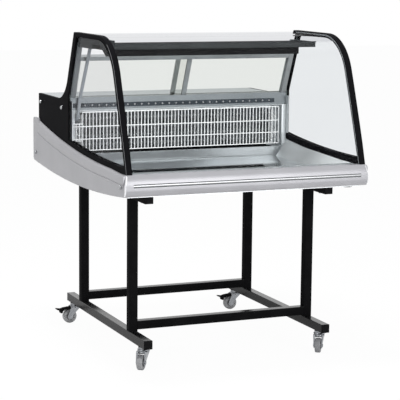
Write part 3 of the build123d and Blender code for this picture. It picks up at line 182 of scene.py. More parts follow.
# satin anodised extrusion: fine lines along its length
anodised = surfaced("anodised_aluminium", "#979a9b", "#a3a6a7", 90, (0.3, 0.4), 1.5, 0.04,
                    {"Metallic": 0.9}, alongZ)
# PVC gasket: mid grey without shine, at the panes; the same grey is painted shade on the extrusions and in
# the bumper's groove
gasketGreyAndShade = surfaced("pvc_gasket_grey_and_painted_shade", "#707476", "#7a7d7f", 40, (0.45, 0.55), 1.6, 0.05, dull)
# stove enamel on the canopy, grey outside and black on the lamp box
hoodPaint = surfaced("stove_enamel_grey", "#393b3c", "#404243", 70, (0.34, 0.44), 2.0, 0.06, dull)
lampBlack = surfaced("stove_enamel_black", "#262627", "#2b2b2c", 70, (0.34, 0.46), 2.0, 0.06, dull)
# grey PVC conduit: smooth, slightly bluish
conduitGrey = surfaced("pvc_conduit_grey", "#83888c", "#90959a", 40, (0.35, 0.45), 2.0, 0.04)
# dark PVC strip
stripDark = surfaced("pvc_strip_dark", "#3c4146", "#464b50", 60, (0.4, 0.5), 1.6, 0.05, dull)
# chromed cap: a small mirror
chromeCap = surfaced("chromed_cap", "#a4a6a8", "#97999b", 6, (0.06, 0.14), 2.0, 0.0, metal)
# coated sheet of the rear cover: mid grey with a light orange peel
sheetGrey = surfaced("coated_sheet_grey", "#8d9092", "#96999b", 80, (0.42, 0.52), 2.2, 0.1)
# black enamel on the machinery, thick and glossy
machineBlack = surfaced("enamel_black", "#131314", "#1c1c1d", 40, (0.25, 0.4), 2.5, 0.08)
# drawn copper, darkened in patches by handling
copper = surfaced("drawn_copper", "#b87452", "#a4613f", 12, (0.22, 0.4), 2.0, 0.05, metal)
# glossy black ABS of the controls
controlBlack = surfaced("abs_black_gloss", "#161617", "#1d1d1e", 14, (0.22, 0.32), 1.2, 0.05)
# moulded rubber: black, no shine
rubberBlack = surfaced("moulded_rubber", "#141414", "#1c1c1c", 10, (0.6, 0.75), 1.2, 0.15, dull)
# nearly black sheet, put under and behind the cooler as painted shade
shadeSheetBlack = surfaced("painted_shade_sheet_black", "#2a2c2e", "#313335", 20, (0.7, 0.85), 2.0, 0.2, dull)
# phosphor-coated tube and its white holders
tubeWhite = surfaced("phosphor_tube", "#e8e9e6", "#f0f0ed", 40, (0.2, 0.3), 2.0, 0.0)
# ground edge of the glass: pale green-grey and matt
glassEdge = surfaced("glass_ground_edge", "#8f9b98", "#a0aba8", 20, (0.3, 0.45), 2.0, 0.05)


def seeThrough(name, colour, rough, ior, cloudMm=300):
    # clear sheet that lets lamps through without dark shadows
    settings = {"Base Color": srgb(colour), "IOR": ior, "Transmission Weight": 1.0}
    material, tree, shader, coords = startMaterial(name, settings)
    gloss = mottle(tree, coords, cloudMm, rough[0], rough[1])[0]
    tree.links.new(gloss, shader.inputs["Roughness"])
    path = addNode(tree, "ShaderNodeLightPath")
    clear = addNode(tree, "ShaderNodeBsdfTransparent", {"Color": (1, 1, 1, 1)})
    mix = addNode(tree, "ShaderNodeMixShader", None,
                  {0: path.outputs["Is Shadow Ray"], 1: shader.outputs["BSDF"], 2: clear.outputs["BSDF"]})
    out = [n for n in tree.nodes if n.type == "OUTPUT_MATERIAL"][0]
    tree.links.new(mix.outputs["Shader"], out.inputs["Surface"])
    return material


# float glass: clear; the index is low because the photograph shows few reflections in it
floatGlass = seeThrough("float_glass", "#f8fafa", (0.0, 0.01), 1.05)
# the same glass where it lies flat on top: tinted grey as a painted reflection, as it is looked at along
# its length, and no mirror, so the panels' arches show through it from behind too
flatGlass = seeThrough("float_glass_flat", "#e5e6e8", (0.02, 0.03), 1.002)
# toughened glass of the sides, a little greyer
sideGlass = seeThrough("toughened_glass_side", "#f0f1f3", (0.0, 0.01), 1.05)
# sliding doors: grey-green in the mass
doorGlass = seeThrough("toughened_glass_door", "#eeefec", (0.0, 0.01), 1.05)
# prismatic acrylic: clear with a soft blur
lensAcrylic = seeThrough("acrylic_lens", "#eef0f0", (0.15, 0.25), 1.3)
print("materials:", len(bpy.data.materials))


# pieces taken from the solids, with their edges broken

def linkPiece(name, mesh):
    piece = bpy.data.objects.new(name, mesh)
    bpy.context.scene.collection.objects.link(piece)
    return piece


def plainMesh(piece):
    graph = bpy.context.evaluated_depsgraph_get()
    mesh = bpy.data.meshes.new_from_object(piece.evaluated_get(graph))
    piece.modifiers.clear()
    piece.data = mesh
    return mesh


edges = {
    "merge": 0.00002,  # metres, within which two corners are one
    "square": 30,  # degrees of turn from which an edge counts as square
    "grownSquare": 40,  # the same on pieces that are made here
    "flat": 0.6,  # degrees of turn under which two faces are one
    "segments": 3,
    "shares": (1, 0.6, 0.3, 0.1),  # of the radius asked for, tried in turn
    "mostArea": 1.001,  # times the sharp skin; a larger one has folded over itself
    "evenWeight": 100,
    "facing": 0.9,  # share of a normal along an axis from which its face looks that way
}

# bumpers hang a little lower than their solids, and the panel feet and the glass reach down to them
sag = {  # metres
    "drop": 0.007,
    "starts": -0.40,  # y where the top of the side bumpers begins to sink
    "full": -0.53,  # y where it has sunk by all of the drop
    "lowEdge": 0.71,  # z under which the side bumpers sink over their whole length
    "foot": (0.779, 0.7885),  # lowest and highest z of the feet of panels and glass
    "lip": (-0.5, 0.76),  # y and z where the front lip of the liner and its foam begins
}


def sagOf(node, place):
    ahead = min(max((place.y - sag["starts"]) / (sag["full"] - sag["starts"]), 0), 1)
    inFoot = sag["foot"][0] < place.z < sag["foot"][1]
    inLip = node in ("liner", "insulation") and place.y < sag["lip"][0] and place.z > sag["lip"][1]
    if node == "front_bumper" or node == "front_glass" and inFoot or inLip:
        return sag["drop"]
    if node.startswith("side_bumper"):
        return sag["drop"] * (1 if place.z < sag["lowEdge"] else ahead)
    if node == "cap_screws" or node.startswith("end_panel") and inFoot and ahead == 1:
        return sag["drop"] * ahead
    return 0


def mergedCopy(node):
    mesh = nodes[node].data.copy()
    work = bmesh.new()
    work.from_mesh(mesh)
    bmesh.ops.remove_doubles(work, verts=work.verts, dist=edges["merge"])
    for vertex in work.verts:
        vertex.co.z -= sagOf(node, vertex.co)
    work.to_mesh(mesh)
    work.free()
    # normals stored for the loose triangles no longer fit
    mesh.attributes.remove(mesh.attributes["custom_normal"])
    mesh.shade_smooth()
    mesh.set_sharp_from_angle(angle=math.radians(edges["square"]))
    return mesh


def squareEdge(edge):
    return edge.calc_face_angle() > math.radians(edges["square"])


def noEdge(edge):
    return False


def markEdges(mesh, rounded, creased):
    # flat faces made whole again, and the outer edges marked that are rounded or left as a crease
    work = bmesh.new()
    work.from_mesh(mesh)
    flat = math.radians(edges["flat"])
    bmesh.ops.dissolve_limit(work, angle_limit=flat, verts=work.verts, edges=work.edges)
    weight = work.edges.layers.float.new("bevel_weight_edge")
    for edge in work.edges:
        if len(edge.link_faces) == 2:
            soft = edge.is_convex and rounded(edge)
            edge[weight] = 1.0 if soft else 0.0
            edge.smooth = soft or not (squareEdge(edge) or creased(edge))
    work.to_mesh(mesh)
    work.free()


def skinArea(mesh):
    mesh.calc_loop_triangles()
    return sum(triangle.area for triangle in mesh.loop_triangles)


def settle(piece, node):
    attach(piece, nodes[node]["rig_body"])
    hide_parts(node)
    return piece


def softened(node, finish, widthMm, rounded=squareEdge, creased=noEdge):
    # a copy of the solid with its outer edges rounded as far as they allow, and its flat faces kept flat
    mesh = mergedCopy(node)
    piece = linkPiece(node + "_skin", mesh)
    if widthMm:
        markEdges(mesh, rounded, creased)
        sharpArea = skinArea(mesh)
        for share in edges["shares"]:
            piece.data = mesh
            bevel = piece.modifiers.new("edges", "BEVEL")
            bevel.width = widthMm * share / 1000
            bevel.segments = edges["segments"]
            bevel.limit_method = "WEIGHT"
            bevel.use_clamp_overlap = False
            even = piece.modifiers.new("even", "WEIGHTED_NORMAL")
            even.weight = edges["evenWeight"]
            even.keep_sharp = True
            plainMesh(piece)
            if skinArea(piece.data) < sharpArea * edges["mostArea"]:
                break
            print(node, "rounded less than", round(widthMm * share, 2), "mm")
    piece.data.materials.clear()
    piece.data.materials.append(finish)
    return settle(piece, node)


softEdges = {  # node: finish, edge radius in mm
    "rail_end_plugs": (nylonBlack, 1.5),
    "stand_bolts": (zincPlate, 0.5),
    "castor_stems": (zincPlate, 0.6),
    "castor_fork_fl": (zincPlate, 0.8),
    "castor_fork_fr": (zincPlate, 0.8),
    "castor_fork_rl": (zincPlate, 0.8),
    "castor_fork_rr": (zincPlate, 0.8),
    "brake_pedal_rl": (nylonBlack, 1.5),
    "brake_pedal_rr": (nylonBlack, 1.5),
    "base_tray": (steelBrushed, 0.4),
    "insulation": (foamCream, 0.0),
    "display_deck": (steelPolished, 0.5),
    "rubber_feet": (rubberBlack, 2.0),
    # the rear wall kerb takes the darker steel, as painted shade
    "rear_wall_kerb": (steelSatinShaded, 0.5),
    "air_outlet_strip": (stripDark, 0.3),
    "evaporator_tubes": (tubeAluminium, 0.0),
    "evaporator_brackets": (whiteEpoxy, 0.4),
    "door_tracks": (anodised, 0.5),
    "door_stile_left": (anodised, 0.8),
    "door_stile_right": (anodised, 0.8),
    "lamp_hood": (hoodPaint, 0.8),
    "lamp_box": (lampBlack, 0.6),
    "lamp_lens": (lensAcrylic, 0.0),
    "lamp_tube": (tubeWhite, 0.5),
    "cap_screws": (chromeCap, 0.0),
    "worktop": (steelWorn, 0.5),
    "rear_cover": (sheetGrey, 0.4),
    "cable_gland": (nylonBlack, 0.8),
    "compressor": (machineBlack, 0.0),
    "condenser": (finStock, 0.0),
    "fan_blades": (finStock, 0.6),
    "fan_motor": (machineBlack, 1.5),
    "refrigerant_pipes": (copper, 0.0),
    "switch_plate": (controlBlack, 1.2),
    "thermostat_knob": (controlBlack, 1.2),
    "rocker_main": (controlBlack, 0.8),
    "rocker_lamp": (controlBlack, 0.8),
}
for node, (finish, width) in softEdges.items():
    softened(node, finish, width)

# liner: folded sheet, its front lip under the glass coloured mid grey
well = {"edgeMm": 0.4}
liner = softened("liner", steelBrushed, well["edgeMm"])
liner.data.materials.append(gasketGreyAndShade)
for face in liner.data.polygons:
    if face.center.y < sag["lip"][0] and face.center.z > sag["lip"][1] - sag["drop"]:
        face.material_index = 1

# stand: drawn tube, rounded along its length
standTube = {
    "edgeMm": 2.5,
    "turn": 60,  # degrees, at least, between the sides of a tube
    "shortest": 0.1,  # metres; shorter edges are tube ends and stay square
    "upward": 0.6,  # rise of a normal from which a face counts as looking up
}


def longEdge(edge):
    square = edge.calc_face_angle() > math.radians(standTube["turn"])
    return square and edge.calc_length() > standTube["shortest"]


for name in ("foot_rails", "top_rails", "posts", "cross_rails"):
    tube = softened("stand_" + name, powderBlack, standTube["edgeMm"], longEdge)
    tube.data.materials.append(powderTopSheen)
    tube.data.materials.append(powderSideReflection)
    # faces that look up take the lighter coat as painted sheen, and the foot rails' upright sides the other
    # lighter coat as painted reflection of the floor
    for face in tube.data.polygons:
        if face.normal.z > standTube["upward"]:
            face.material_index = 1
        elif name == "foot_rails" and abs(face.normal.x) > edges["facing"]:
            face.material_index = 2
print("softened pieces:", len(softEdges))


# end panels: the rounded outer edge of the arch is coloured pale grey as a painted highlight
panels = {
    "edgeMm": 2.0,
    "edgeTurn": 0.35,  # how far a face must look both forwards and outwards to count as that edge
}
for side, outward in (("left", -1), ("right", 1)):
    panel = softened("end_panel_" + side, absBlack, panels["edgeMm"])
    panel.data.materials.append(absEdgeHighlight)
    for face in panel.data.polygons:
        ahead = face.center.y < 0 and -face.normal.y > panels["edgeTurn"]
        if ahead and outward * face.normal.x > panels["edgeTurn"]:
            face.material_index = 1

# side bumpers: rounded where they turn to the front, with a crease under the shoulder
sideBumpers = {
    "edgeMm": 5.0,
    "ahead": 0.6,  # share of a normal forwards on the nose
    "crease": 5,  # degrees of turn
    "upright": 0.999,  # share of a normal outwards under the crease
    "leaning": 0.03,  # rise of a normal on the shoulder above it
    "highlightFrom": -0.5,  # y in metres
    "rubbedAhead": 0.2,  # shares of a normal forwards and outwards on the corner with the painted highlight
    "rubbedOut": (0.2, 0.98),
}


def noseEdge(edge):
    normals = [face.normal for face in edge.link_faces]
    side = math.copysign(1, edge.verts[0].co.x)
    outward = any(side * normal.x > edges["facing"] for normal in normals)
    ahead = any(-normal.y > sideBumpers["ahead"] for normal in normals)
    return outward and ahead and squareEdge(edge)


def shoulderCrease(edge):
    # between the upright outer face and the shoulder above it
    lower, upper = sorted((face.normal for face in edge.link_faces), key=lambda normal: normal.z)
    turned = edge.calc_face_angle() > math.radians(sideBumpers["crease"])
    return turned and abs(lower.x) > sideBumpers["upright"] and upper.z > sideBumpers["leaning"]


for side in ("left", "right"):
    skin = softened("side_bumper_" + side, silverPaint, sideBumpers["edgeMm"], noseEdge, shoulderCrease)
    skin.data.materials.append(silverEdgeHighlight)
    # the rounded front corner takes the near white paint as a painted highlight
    least, most = sideBumpers["rubbedOut"]
    for face in skin.data.polygons:
        ahead = face.center.y < sideBumpers["highlightFrom"] and -face.normal.y > sideBumpers["rubbedAhead"]
        if ahead and least < abs(face.normal.x) < most:
            face.material_index = 1


# pieces lofted through a row of closed loops

def addLoft(work, loops, closed=False):
    rings = [[work.verts.new(point) for point in loop] for loop in loops]
    pairs = list(zip(rings, rings[1:])) + ([(rings[-1], rings[0])] if closed else [])
    for one, other in pairs:
        for i in range(len(one)):
            j = (i + 1) % len(one)
            work.faces.new((one[i], one[j], other[j], other[i]))
    if not closed:
        work.faces.new(rings[0])
        work.faces.new(rings[-1])


def endLoft(name, work, finish, body):
    bmesh.ops.recalc_face_normals(work, faces=work.faces)
    mesh = bpy.data.meshes.new(name)
    work.to_mesh(mesh)
    work.free()
    mesh.materials.append(finish)
    mesh.shade_smooth()
    mesh.set_sharp_from_angle(angle=math.radians(edges["grownSquare"]))
    piece = linkPiece(name, mesh)
    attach(piece, body)
    return piece


# shoulder of the side bumpers: the paint is full over it and ends in a thin raised line at the crease
shoulder = {
    # share of the fall from the top edge, and how far out of the panel in mm
    "profile": ((0, 0), (0.02, 3), (0.05, 5.6), (0.1, 8), (0.17, 9.8), (0.25, 10.9),
                (0.37, 11.6), (0.54, 11.7), (0.75, 10.8), (0.9, 9.7)),
    "lean": 9.5,  # mm that the solid's own shoulder comes out over the same fall
    "tuckIn": 1.0,  # mm that the top edge reaches into the panel and down
    "tuckDown": 0.5,
    "line": (3.4, 0.9),  # radius and depth of the raised line's centre under the face, mm
    "lineTurns": (90, 60, 30, 0, -30, -60, -90),  # degrees
    "creaseWithin": 0.05,  # mm from the widest place, and from the narrowest
    "topWithin": 0.1,
    "stations": 48,
    "leastStep": 1e-9,  # metres, against a division by nought
}


def placeOn(line, y):
    # place on a row of points that run along y
    for one, other in zip(line, line[1:]):
        if one.y <= y <= other.y:
            return one.lerp(other, (y - one.y) / max(other.y - one.y, shoulder["leastStep"]))
    return line[0] if y < line[0].y else line[-1]


def makeShoulder(side, outward):
    mesh = mergedCopy("side_bumper_" + side)
    points = set()
    for face in mesh.polygons:
        if outward * face.normal.x > edges["facing"] and face.normal.z > sideBumpers["leaning"]:
            points.update(face.vertices)
    places = sorted((mesh.vertices[index].co.copy() for index in points), key=lambda place: place.y)
    widest = max(abs(place.x) for place in places)
    narrowest = min(abs(place.x) for place in places)
    crease = [place for place in places if abs(place.x) > widest - shoulder["creaseWithin"] / 1000]
    top = [place for place in places if abs(place.x) < narrowest + shoulder["topWithin"] / 1000]
    first = max(crease[0].y, top[0].y)
    last = min(crease[-1].y, top[-1].y)
    radius, sink = (value / 1000 for value in shoulder["line"])
    loops = []
    for station in range(shoulder["stations"] + 1):
        y = first + (last - first) * station / shoulder["stations"]
        upper, lower = placeOn(top, y), placeOn(crease, y)
        lean = widest - abs(upper.x)
        tuckedIn = abs(upper.x) - shoulder["tuckIn"] / 1000
        loop = [(outward * tuckedIn, y, upper.z - shoulder["tuckDown"] / 1000)]
        for share, proud in shoulder["profile"]:
            out = abs(upper.x) + proud / shoulder["lean"] * lean
            loop.append((outward * out, y, upper.z + (lower.z - upper.z) * share))
        for turn in shoulder["lineTurns"]:
            bend = math.radians(turn)
            out = widest - sink + radius * math.cos(bend)
            loop.append((outward * out, y, lower.z + radius * math.sin(bend)))
        loops.append(loop)
    work = bmesh.new()
    addLoft(work, loops)
    endLoft("bumper_shoulder_" + side, work, silverPaint, "cabinet")


makeShoulder("left", -1)
makeShoulder("right", 1)

# castor forks: pressed shells with a full crown and flared sides
forkShell = {  # mm, from the swivel axis and the floor
    # distance from the axis and height, round the section of the crown
    "crown": ((18, 78.6), (22.5, 78), (23.5, 75.5), (22.5, 73), (20.5, 72),
              (22, 70.5), (22.5, 67), (21, 62), (18, 62)),
    "crownSteps": 36,
    "openFrom": 62,  # degrees either side of the trailing wheel, where a pedal passes
    "wingTop": (-20, 23, 71.5),  # front and rear end, height
    "wingEnd": (25, 30, 12.5),  # axle's place and the radius round it
    "wingTurns": range(10, -211, -20),  # degrees round the axle
    "inside": 15.5,
    "flareLow": 17.4,
    "flareHigh": 21.5,
    "headWithin": 0.1,  # of the fork's highest place
}


def makeForkShell(corner, braked):
    fork = nodes["castor_fork_" + corner]
    low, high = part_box("castor_wheel_" + corner)
    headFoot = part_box("castor_fork_" + corner)[1].z - forkShell["headWithin"] / 1000
    head = [vertex.co for vertex in fork.data.vertices if vertex.co.z > headFoot]
    headX = [place.x for place in head]
    headY = [place.y for place in head]
    axis = Vector(((min(headX) + max(headX)) / 2, (min(headY) + max(headY)) / 2, 0))
    trail = ((low + high) / 2 - axis) * Vector((1, 1, 0))
    along = trail.normalized()
    across = Vector((-along.y, along.x, 0))

    def put(x, y, z):
        return axis + (along * x + across * y) / 1000 + Vector((0, 0, z / 1000))

    work = bmesh.new()
    begin = math.radians(forkShell["openFrom"] if braked else 0)
    steps = forkShell["crownSteps"]
    loops = []
    for step in range(steps + 1 if braked else steps):
        turn = begin + (2 * math.pi - 2 * begin) * step / steps
        loops.append([put(r * math.cos(turn), r * math.sin(turn), z) for r, z in forkShell["crown"]])
    addLoft(work, loops, not braked)
    front, rear, top = forkShell["wingTop"]
    axleX, axleZ, radius = forkShell["wingEnd"]
    wing = [(front, top), (rear, top)]
    for degrees in forkShell["wingTurns"]:
        bend = math.radians(degrees)
        wing.append((axleX + radius * math.cos(bend), axleZ + radius * math.sin(bend)))
    for side in (-1, 1):
        inner = [put(x, side * forkShell["inside"], z) for x, z in wing]
        outer = []
        for x, z in wing:
            rise = max(0, (z - axleZ) / (top - axleZ))
            flare = forkShell["flareLow"] + (forkShell["flareHigh"] - forkShell["flareLow"]) * rise
            outer.append(put(x, side * flare, z))
        addLoft(work, [inner, outer])
    endLoft("fork_shell_" + corner, work, zincPlate, fork["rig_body"])


for corner in ("fl", "fr", "rl", "rr"):
    makeForkShell(corner, corner.startswith("r"))
print("shoulders and fork shells done")

# front bumper: its groove's faces are grey as painted shade, so it shows as two dark lines beside the strip
frontBumper = {
    "edgeMm": 1.2,
    "margin": 0.001,  # metres round the strip
    "grooveTurn": 0.3,  # share of a normal up or down on the groove's sides
}


def bumperEdge(edge):
    return squareEdge(edge) and all(abs(face.normal.x) < edges["facing"] for face in edge.link_faces)


def stripBox():
    # where the strip in the bumper is, once that has sunk
    low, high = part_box("front_bumper_insert")
    drop = Vector((0, 0, sag["drop"]))
    return low - drop, high - drop


bumper = softened("front_bumper", silverPaint, frontBumper["edgeMm"], bumperEdge)
bumper.data.materials.append(gasketGreyAndShade)
low, high = stripBox()
for face in bumper.data.polygons:
    level = low.z - frontBumper["margin"] < face.center.z < high.z + frontBumper["margin"]
    inGroove = level and face.center.y < high.y + frontBumper["margin"]
    if inGroove and (abs(face.normal.z) > frontBumper["grooveTurn"] or face.center.y > low.y):
        face.material_index = 1

# uprights: extrusions whose side faces, and the front face of the left one, are grey as painted shade
uprights = {"edgeMm": 1.2, "turn": 0.7}  # mm, and the share of a normal on the faces with painted shade
extrusions = softened("rear_uprights", anodised, uprights["edgeMm"])
extrusions.data.materials.append(gasketGreyAndShade)
for face in extrusions.data.polygons:
    shadedFront = face.center.x < 0 and -face.normal.y > uprights["turn"]
    if shadedFront or abs(face.normal.x) > uprights["turn"]:
        face.material_index = 1

# castor wheels: grey tread on a paler hub
wheels = {"rim": 21.2, "level": 0.01}  # mm where the tread begins, and the rise of an upright face's normal
for corner in ("fl", "fr", "rl", "rr"):
    wheel = softened("castor_wheel_" + corner, hubGrey, 0.0)
    wheel.data.materials.append(treadGrey)
    low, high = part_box("castor_wheel_" + corner)
    middle = (low + high) / 2
    upright = [face for face in wheel.data.polygons if abs(face.normal.z) < wheels["level"]]
    axle = max(upright, key=lambda face: face.area).normal
    for face in wheel.data.polygons:
        away = face.center - middle
        if (away - away.dot(axle) * axle).length > wheels["rim"] / 1000:
            face.material_index = 1

# panes: clear faces, with their edges ground or sealed
panes = {
    "front_glass": (floatGlass, gasketGreyAndShade),
    "side_glass": (sideGlass, glassEdge),
    "door_glass_left": (doorGlass, glassEdge),
    "door_glass_right": (doorGlass, glassEdge),
}
for node, (clear, edging) in panes.items():
    pane = softened(node, clear, 0.0)
    pane.data.materials.append(edging)
    pane.data.materials.append(flatGlass)
    # the front glass's top faces take the grey-tinted glass, a painted reflection
    for face in pane.data.polygons:
        sideways = abs(face.normal.x) > edges["facing"]
        if (node == "side_glass") != sideways:
            face.material_index = 1
        elif node == "front_glass" and abs(face.normal.z) > edges["facing"]:
            face.material_index = 2

# wiring box and the conduit that comes down from it
wiring = {"edgeMm": 1.2, "margin": 0.0005}  # mm, and metres under the canopy's top
wiringBox = softened("lamp_wiring_box", hoodPaint, wiring["edgeMm"])
wiringBox.data.materials.append(conduitGrey)
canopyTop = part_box("lamp_hood")[1].z
for face in wiringBox.data.polygons:
    if face.center.z < canopyTop - wiring["margin"]:
        face.material_index = 1
print("panels, bumpers, wheels, panes and wiring box done")


# rows of like pieces, grown by geometry nodes

roundness = {"bar": 20, "wire": 10, "domeRound": 16, "domeDown": 8}  # straight pieces in a circle


def startTree(name, inputs):
    tree = bpy.data.node_groups.new(name, "GeometryNodeTree")
    tree.interface.new_socket("Geometry", in_out="OUTPUT", socket_type="NodeSocketGeometry")
    for label, kind in inputs.items():
        tree.interface.new_socket(label, in_out="INPUT", socket_type="NodeSocket" + kind)
    return tree, addNode(tree, "NodeGroupInput").outputs


def endTree(tree, geometry, place, finish):
    moved = addNode(tree, "GeometryNodeTransform", None, {"Geometry": geometry, "Translation": place})
    real = addNode(tree, "GeometryNodeRealizeInstances", None, {"Geometry": moved.outputs[0]})
    smooth = addNode(tree, "GeometryNodeSetShadeSmooth", {"Shade Smooth": True},
                     {"Geometry": real.outputs[0]})
    dressed = addNode(tree, "GeometryNodeSetMaterial", None,
                      {"Geometry": smooth.outputs[0], "Material": finish})
    addNode(tree, "NodeGroupOutput", None, {"Geometry": dressed.outputs[0]})
    return tree


def grow(name, tree, values, body, replaced=()):
    piece = linkPiece(name, bpy.data.meshes.new(name))
    grower = piece.modifiers.new("grow", "NODES")
    grower.node_group = tree
    for item in tree.interface.items_tree:
        if item.in_out == "INPUT":
            grower[item.identifier] = values[item.name]
    mesh = plainMesh(piece)
    mesh.set_sharp_from_angle(angle=math.radians(edges["grownSquare"]))
    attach(piece, body)
    for node in replaced:
        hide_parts(node)
    print(name + ":", len(mesh.polygons), "faces")
    return piece


def rowTree(name, shapeInputs, makeShape):
    # one shape, repeated along a line
    rowInputs = {"Count": "Int", "Step": "Vector", "Place": "Vector", "Finish": "Material"}
    tree, given = startTree(name, {**shapeInputs, **rowInputs})
    line = addNode(tree, "GeometryNodeMeshLine", {"mode": "OFFSET"},
                   {"Count": given["Count"], "Offset": given["Step"]})
    row = addNode(tree, "GeometryNodeInstanceOnPoints", None,
                  {"Points": line.outputs[0], "Instance": makeShape(tree, given)})
    return endTree(tree, row.outputs[0], given["Place"], given["Finish"])


def metres(settings):
    return {key: value / 1000 for key, value in settings.items()}


def plateShape(tree, given):
    return addNode(tree, "GeometryNodeMeshCube", None, {"Size": given["Size"]}).outputs[0]


def barShape(tree, given):
    # a bar along X, oval in section
    end = addNode(tree, "ShaderNodeCombineXYZ", None, {"X": given["Length"]})
    spine = addNode(tree, "GeometryNodeCurvePrimitiveLine", None, {"End": end.outputs[0]})
    ring = addNode(tree, "GeometryNodeCurvePrimitiveCircle",
                   {"Resolution": roundness["bar"], "Radius": 1.0})
    oval = addNode(tree, "GeometryNodeTransform", None,
                   {"Geometry": ring.outputs[0], "Scale": given["Section"]})
    return addNode(tree, "GeometryNodeCurveToMesh", {"Fill Caps": True},
                   {"Curve": spine.outputs[0], "Profile Curve": oval.outputs[0]}).outputs[0]


def domeShape(tree, given):
    # a ball squashed to its three half sizes
    ball = addNode(tree, "GeometryNodeMeshUVSphere",
                   {"Segments": roundness["domeRound"], "Rings": roundness["domeDown"], "Radius": 1.0})
    return addNode(tree, "GeometryNodeTransform", None,
                   {"Geometry": ball.outputs[0], "Scale": given["Size"]}).outputs[0]


plateRow = rowTree("plateRow", {"Size": "Vector"}, plateShape)
barRow = rowTree("barRow", {"Length": "Float", "Section": "Vector"}, barShape)
domeRow = rowTree("domeRow", {"Size": "Vector"}, domeShape)

# wire guard: upright wires welded behind cross wires, a tab at its left end, hung from a flat bar
guard = {  # mm
    "wire": 4.0,
    "crossWire": 4.2,
    "firstWire": 46,  # from the bar's left end to the first wire
    "lastWire": 13,  # and from the last wire to its right end
    "crossLow": 47,  # levels above the lowest wire, these and the tab's
    "crossHigh": 99,
    "tabWidth": 43,
    "tabLow": 40,
    "tabHigh": 110,
    "barHeight": 8,
    "barThickness": 3,
}
guardGaps = 59  # between its upright wires
tabWires = 3


def guardTree():
    lengths = ("Wire", "Cross Wire", "Pitch", "Width", "Height", "Low Cross", "High Cross",
               "Tab Left", "Tab Step", "Tab Low", "Tab High")
    inputs = {label: "Float" for label in lengths}
    inputs.update({"Count": "Int", "Tab Count": "Int", "Place": "Vector", "Finish": "Material"})
    tree, given = startTree("wireGuard", inputs)
    nought = addNode(tree, "ShaderNodeValue").outputs[0]
    wireRound = {"Resolution": roundness["wire"]}
    thin = addNode(tree, "GeometryNodeCurvePrimitiveCircle", wireRound, {"Radius": given["Wire"]})
    thick = addNode(tree, "GeometryNodeCurvePrimitiveCircle", wireRound, {"Radius": given["Cross Wire"]})
    joined = addNode(tree, "GeometryNodeJoinGeometry")
    for count, pitch, left, low, high in (
            (given["Count"], given["Pitch"], nought, nought, given["Height"]),
            (given["Tab Count"], given["Tab Step"], given["Tab Left"],
             given["Tab Low"], given["Tab High"])):
        bottom = addNode(tree, "ShaderNodeCombineXYZ", None, {"Z": low})
        top = addNode(tree, "ShaderNodeCombineXYZ", None, {"Z": high})
        spine = addNode(tree, "GeometryNodeCurvePrimitiveLine", None,
                        {"Start": bottom.outputs[0], "End": top.outputs[0]})
        wire = addNode(tree, "GeometryNodeCurveToMesh", {"Fill Caps": True},
                       {"Curve": spine.outputs[0], "Profile Curve": thin.outputs[0]})
        first = addNode(tree, "ShaderNodeCombineXYZ", None, {"X": left})
        step = addNode(tree, "ShaderNodeCombineXYZ", None, {"X": pitch})
        line = addNode(tree, "GeometryNodeMeshLine", {"mode": "OFFSET"},
                       {"Count": count, "Start Location": first.outputs[0], "Offset": step.outputs[0]})
        wires = addNode(tree, "GeometryNodeInstanceOnPoints", None,
                        {"Points": line.outputs[0], "Instance": wire.outputs[0]})
        tree.links.new(wires.outputs[0], joined.inputs[0])
    for height, left, right in (
            (nought, nought, given["Width"]),
            (given["Low Cross"], given["Tab Left"], given["Width"]),
            (given["High Cross"], given["Tab Left"], given["Width"]),
            (given["Height"], nought, given["Width"]),
            (given["Tab Low"], given["Tab Left"], nought),
            (given["Tab High"], given["Tab Left"], nought)):
        start = addNode(tree, "ShaderNodeCombineXYZ", None, {"X": left, "Z": height})
        end = addNode(tree, "ShaderNodeCombineXYZ", None, {"X": right, "Z": height})
        spine = addNode(tree, "GeometryNodeCurvePrimitiveLine", None,
                        {"Start": start.outputs[0], "End": end.outputs[0]})
        cross = addNode(tree, "GeometryNodeCurveToMesh", {"Fill Caps": True},
                        {"Curve": spine.outputs[0], "Profile Curve": thick.outputs[0]})
        tree.links.new(cross.outputs[0], joined.inputs[0])
    return endTree(tree, joined.outputs[0], given["Place"], given["Finish"])


def makeGuard():
    low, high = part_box("wire_guard")
    size = metres(guard)
    left = low.x + size["firstWire"]
    width = high.x - size["lastWire"] - left
    netTop = high.z - 2 * size["barHeight"]
    net = Vector((left, low.y + size["crossWire"] / 2, low.z + size["crossWire"] / 2))
    bar = Vector(((low.x + high.x) / 2, high.y - size["barThickness"] / 2,
                  high.z - size["barHeight"] / 2))
    values = {
        "Wire": size["wire"] / 2,
        "Cross Wire": size["crossWire"] / 2,
        "Count": guardGaps + 1,
        "Pitch": width / guardGaps,
        "Width": width,
        "Height": netTop - net.z,
        "Low Cross": size["crossLow"],
        "High Cross": size["crossHigh"],
        "Tab Count": tabWires,
        "Tab Left": -size["tabWidth"],
        "Tab Step": size["tabWidth"] / tabWires,
        "Tab Low": size["tabLow"],
        "Tab High": size["tabHigh"],
        "Place": net,
        "Finish": whiteEpoxy,
    }
    grow("guard_wires", guardTree(), values, "cabinet", ("wire_guard",))
    grow("guard_bar", plateRow, {
        "Size": (high.x - low.x, size["barThickness"], size["barHeight"]),
        "Count": 1,
        "Step": (0, 0, 0),
        "Place": bar,
        "Finish": steelSatinShaded,
    }, "cabinet")


makeGuard()

# evaporator: thin fins, as fine as the picture can show
fins = {"thickness": 0.8, "pitch": 7.0}  # mm
size = metres(fins)
low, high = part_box("evaporator_fins")
middle = (low + high) / 2
count = int((high.x - low.x) / size["pitch"])
grow("evaporator_fin_pack", plateRow, {
    "Size": (size["thickness"], high.y - low.y, high.z - low.z),
    "Count": count,
    "Step": ((high.x - low.x) / count, 0, 0),
    "Place": (low.x + size["thickness"] / 2, middle.y, middle.z),
    "Finish": finStock,
}, "cabinet", ("evaporator_fins",))
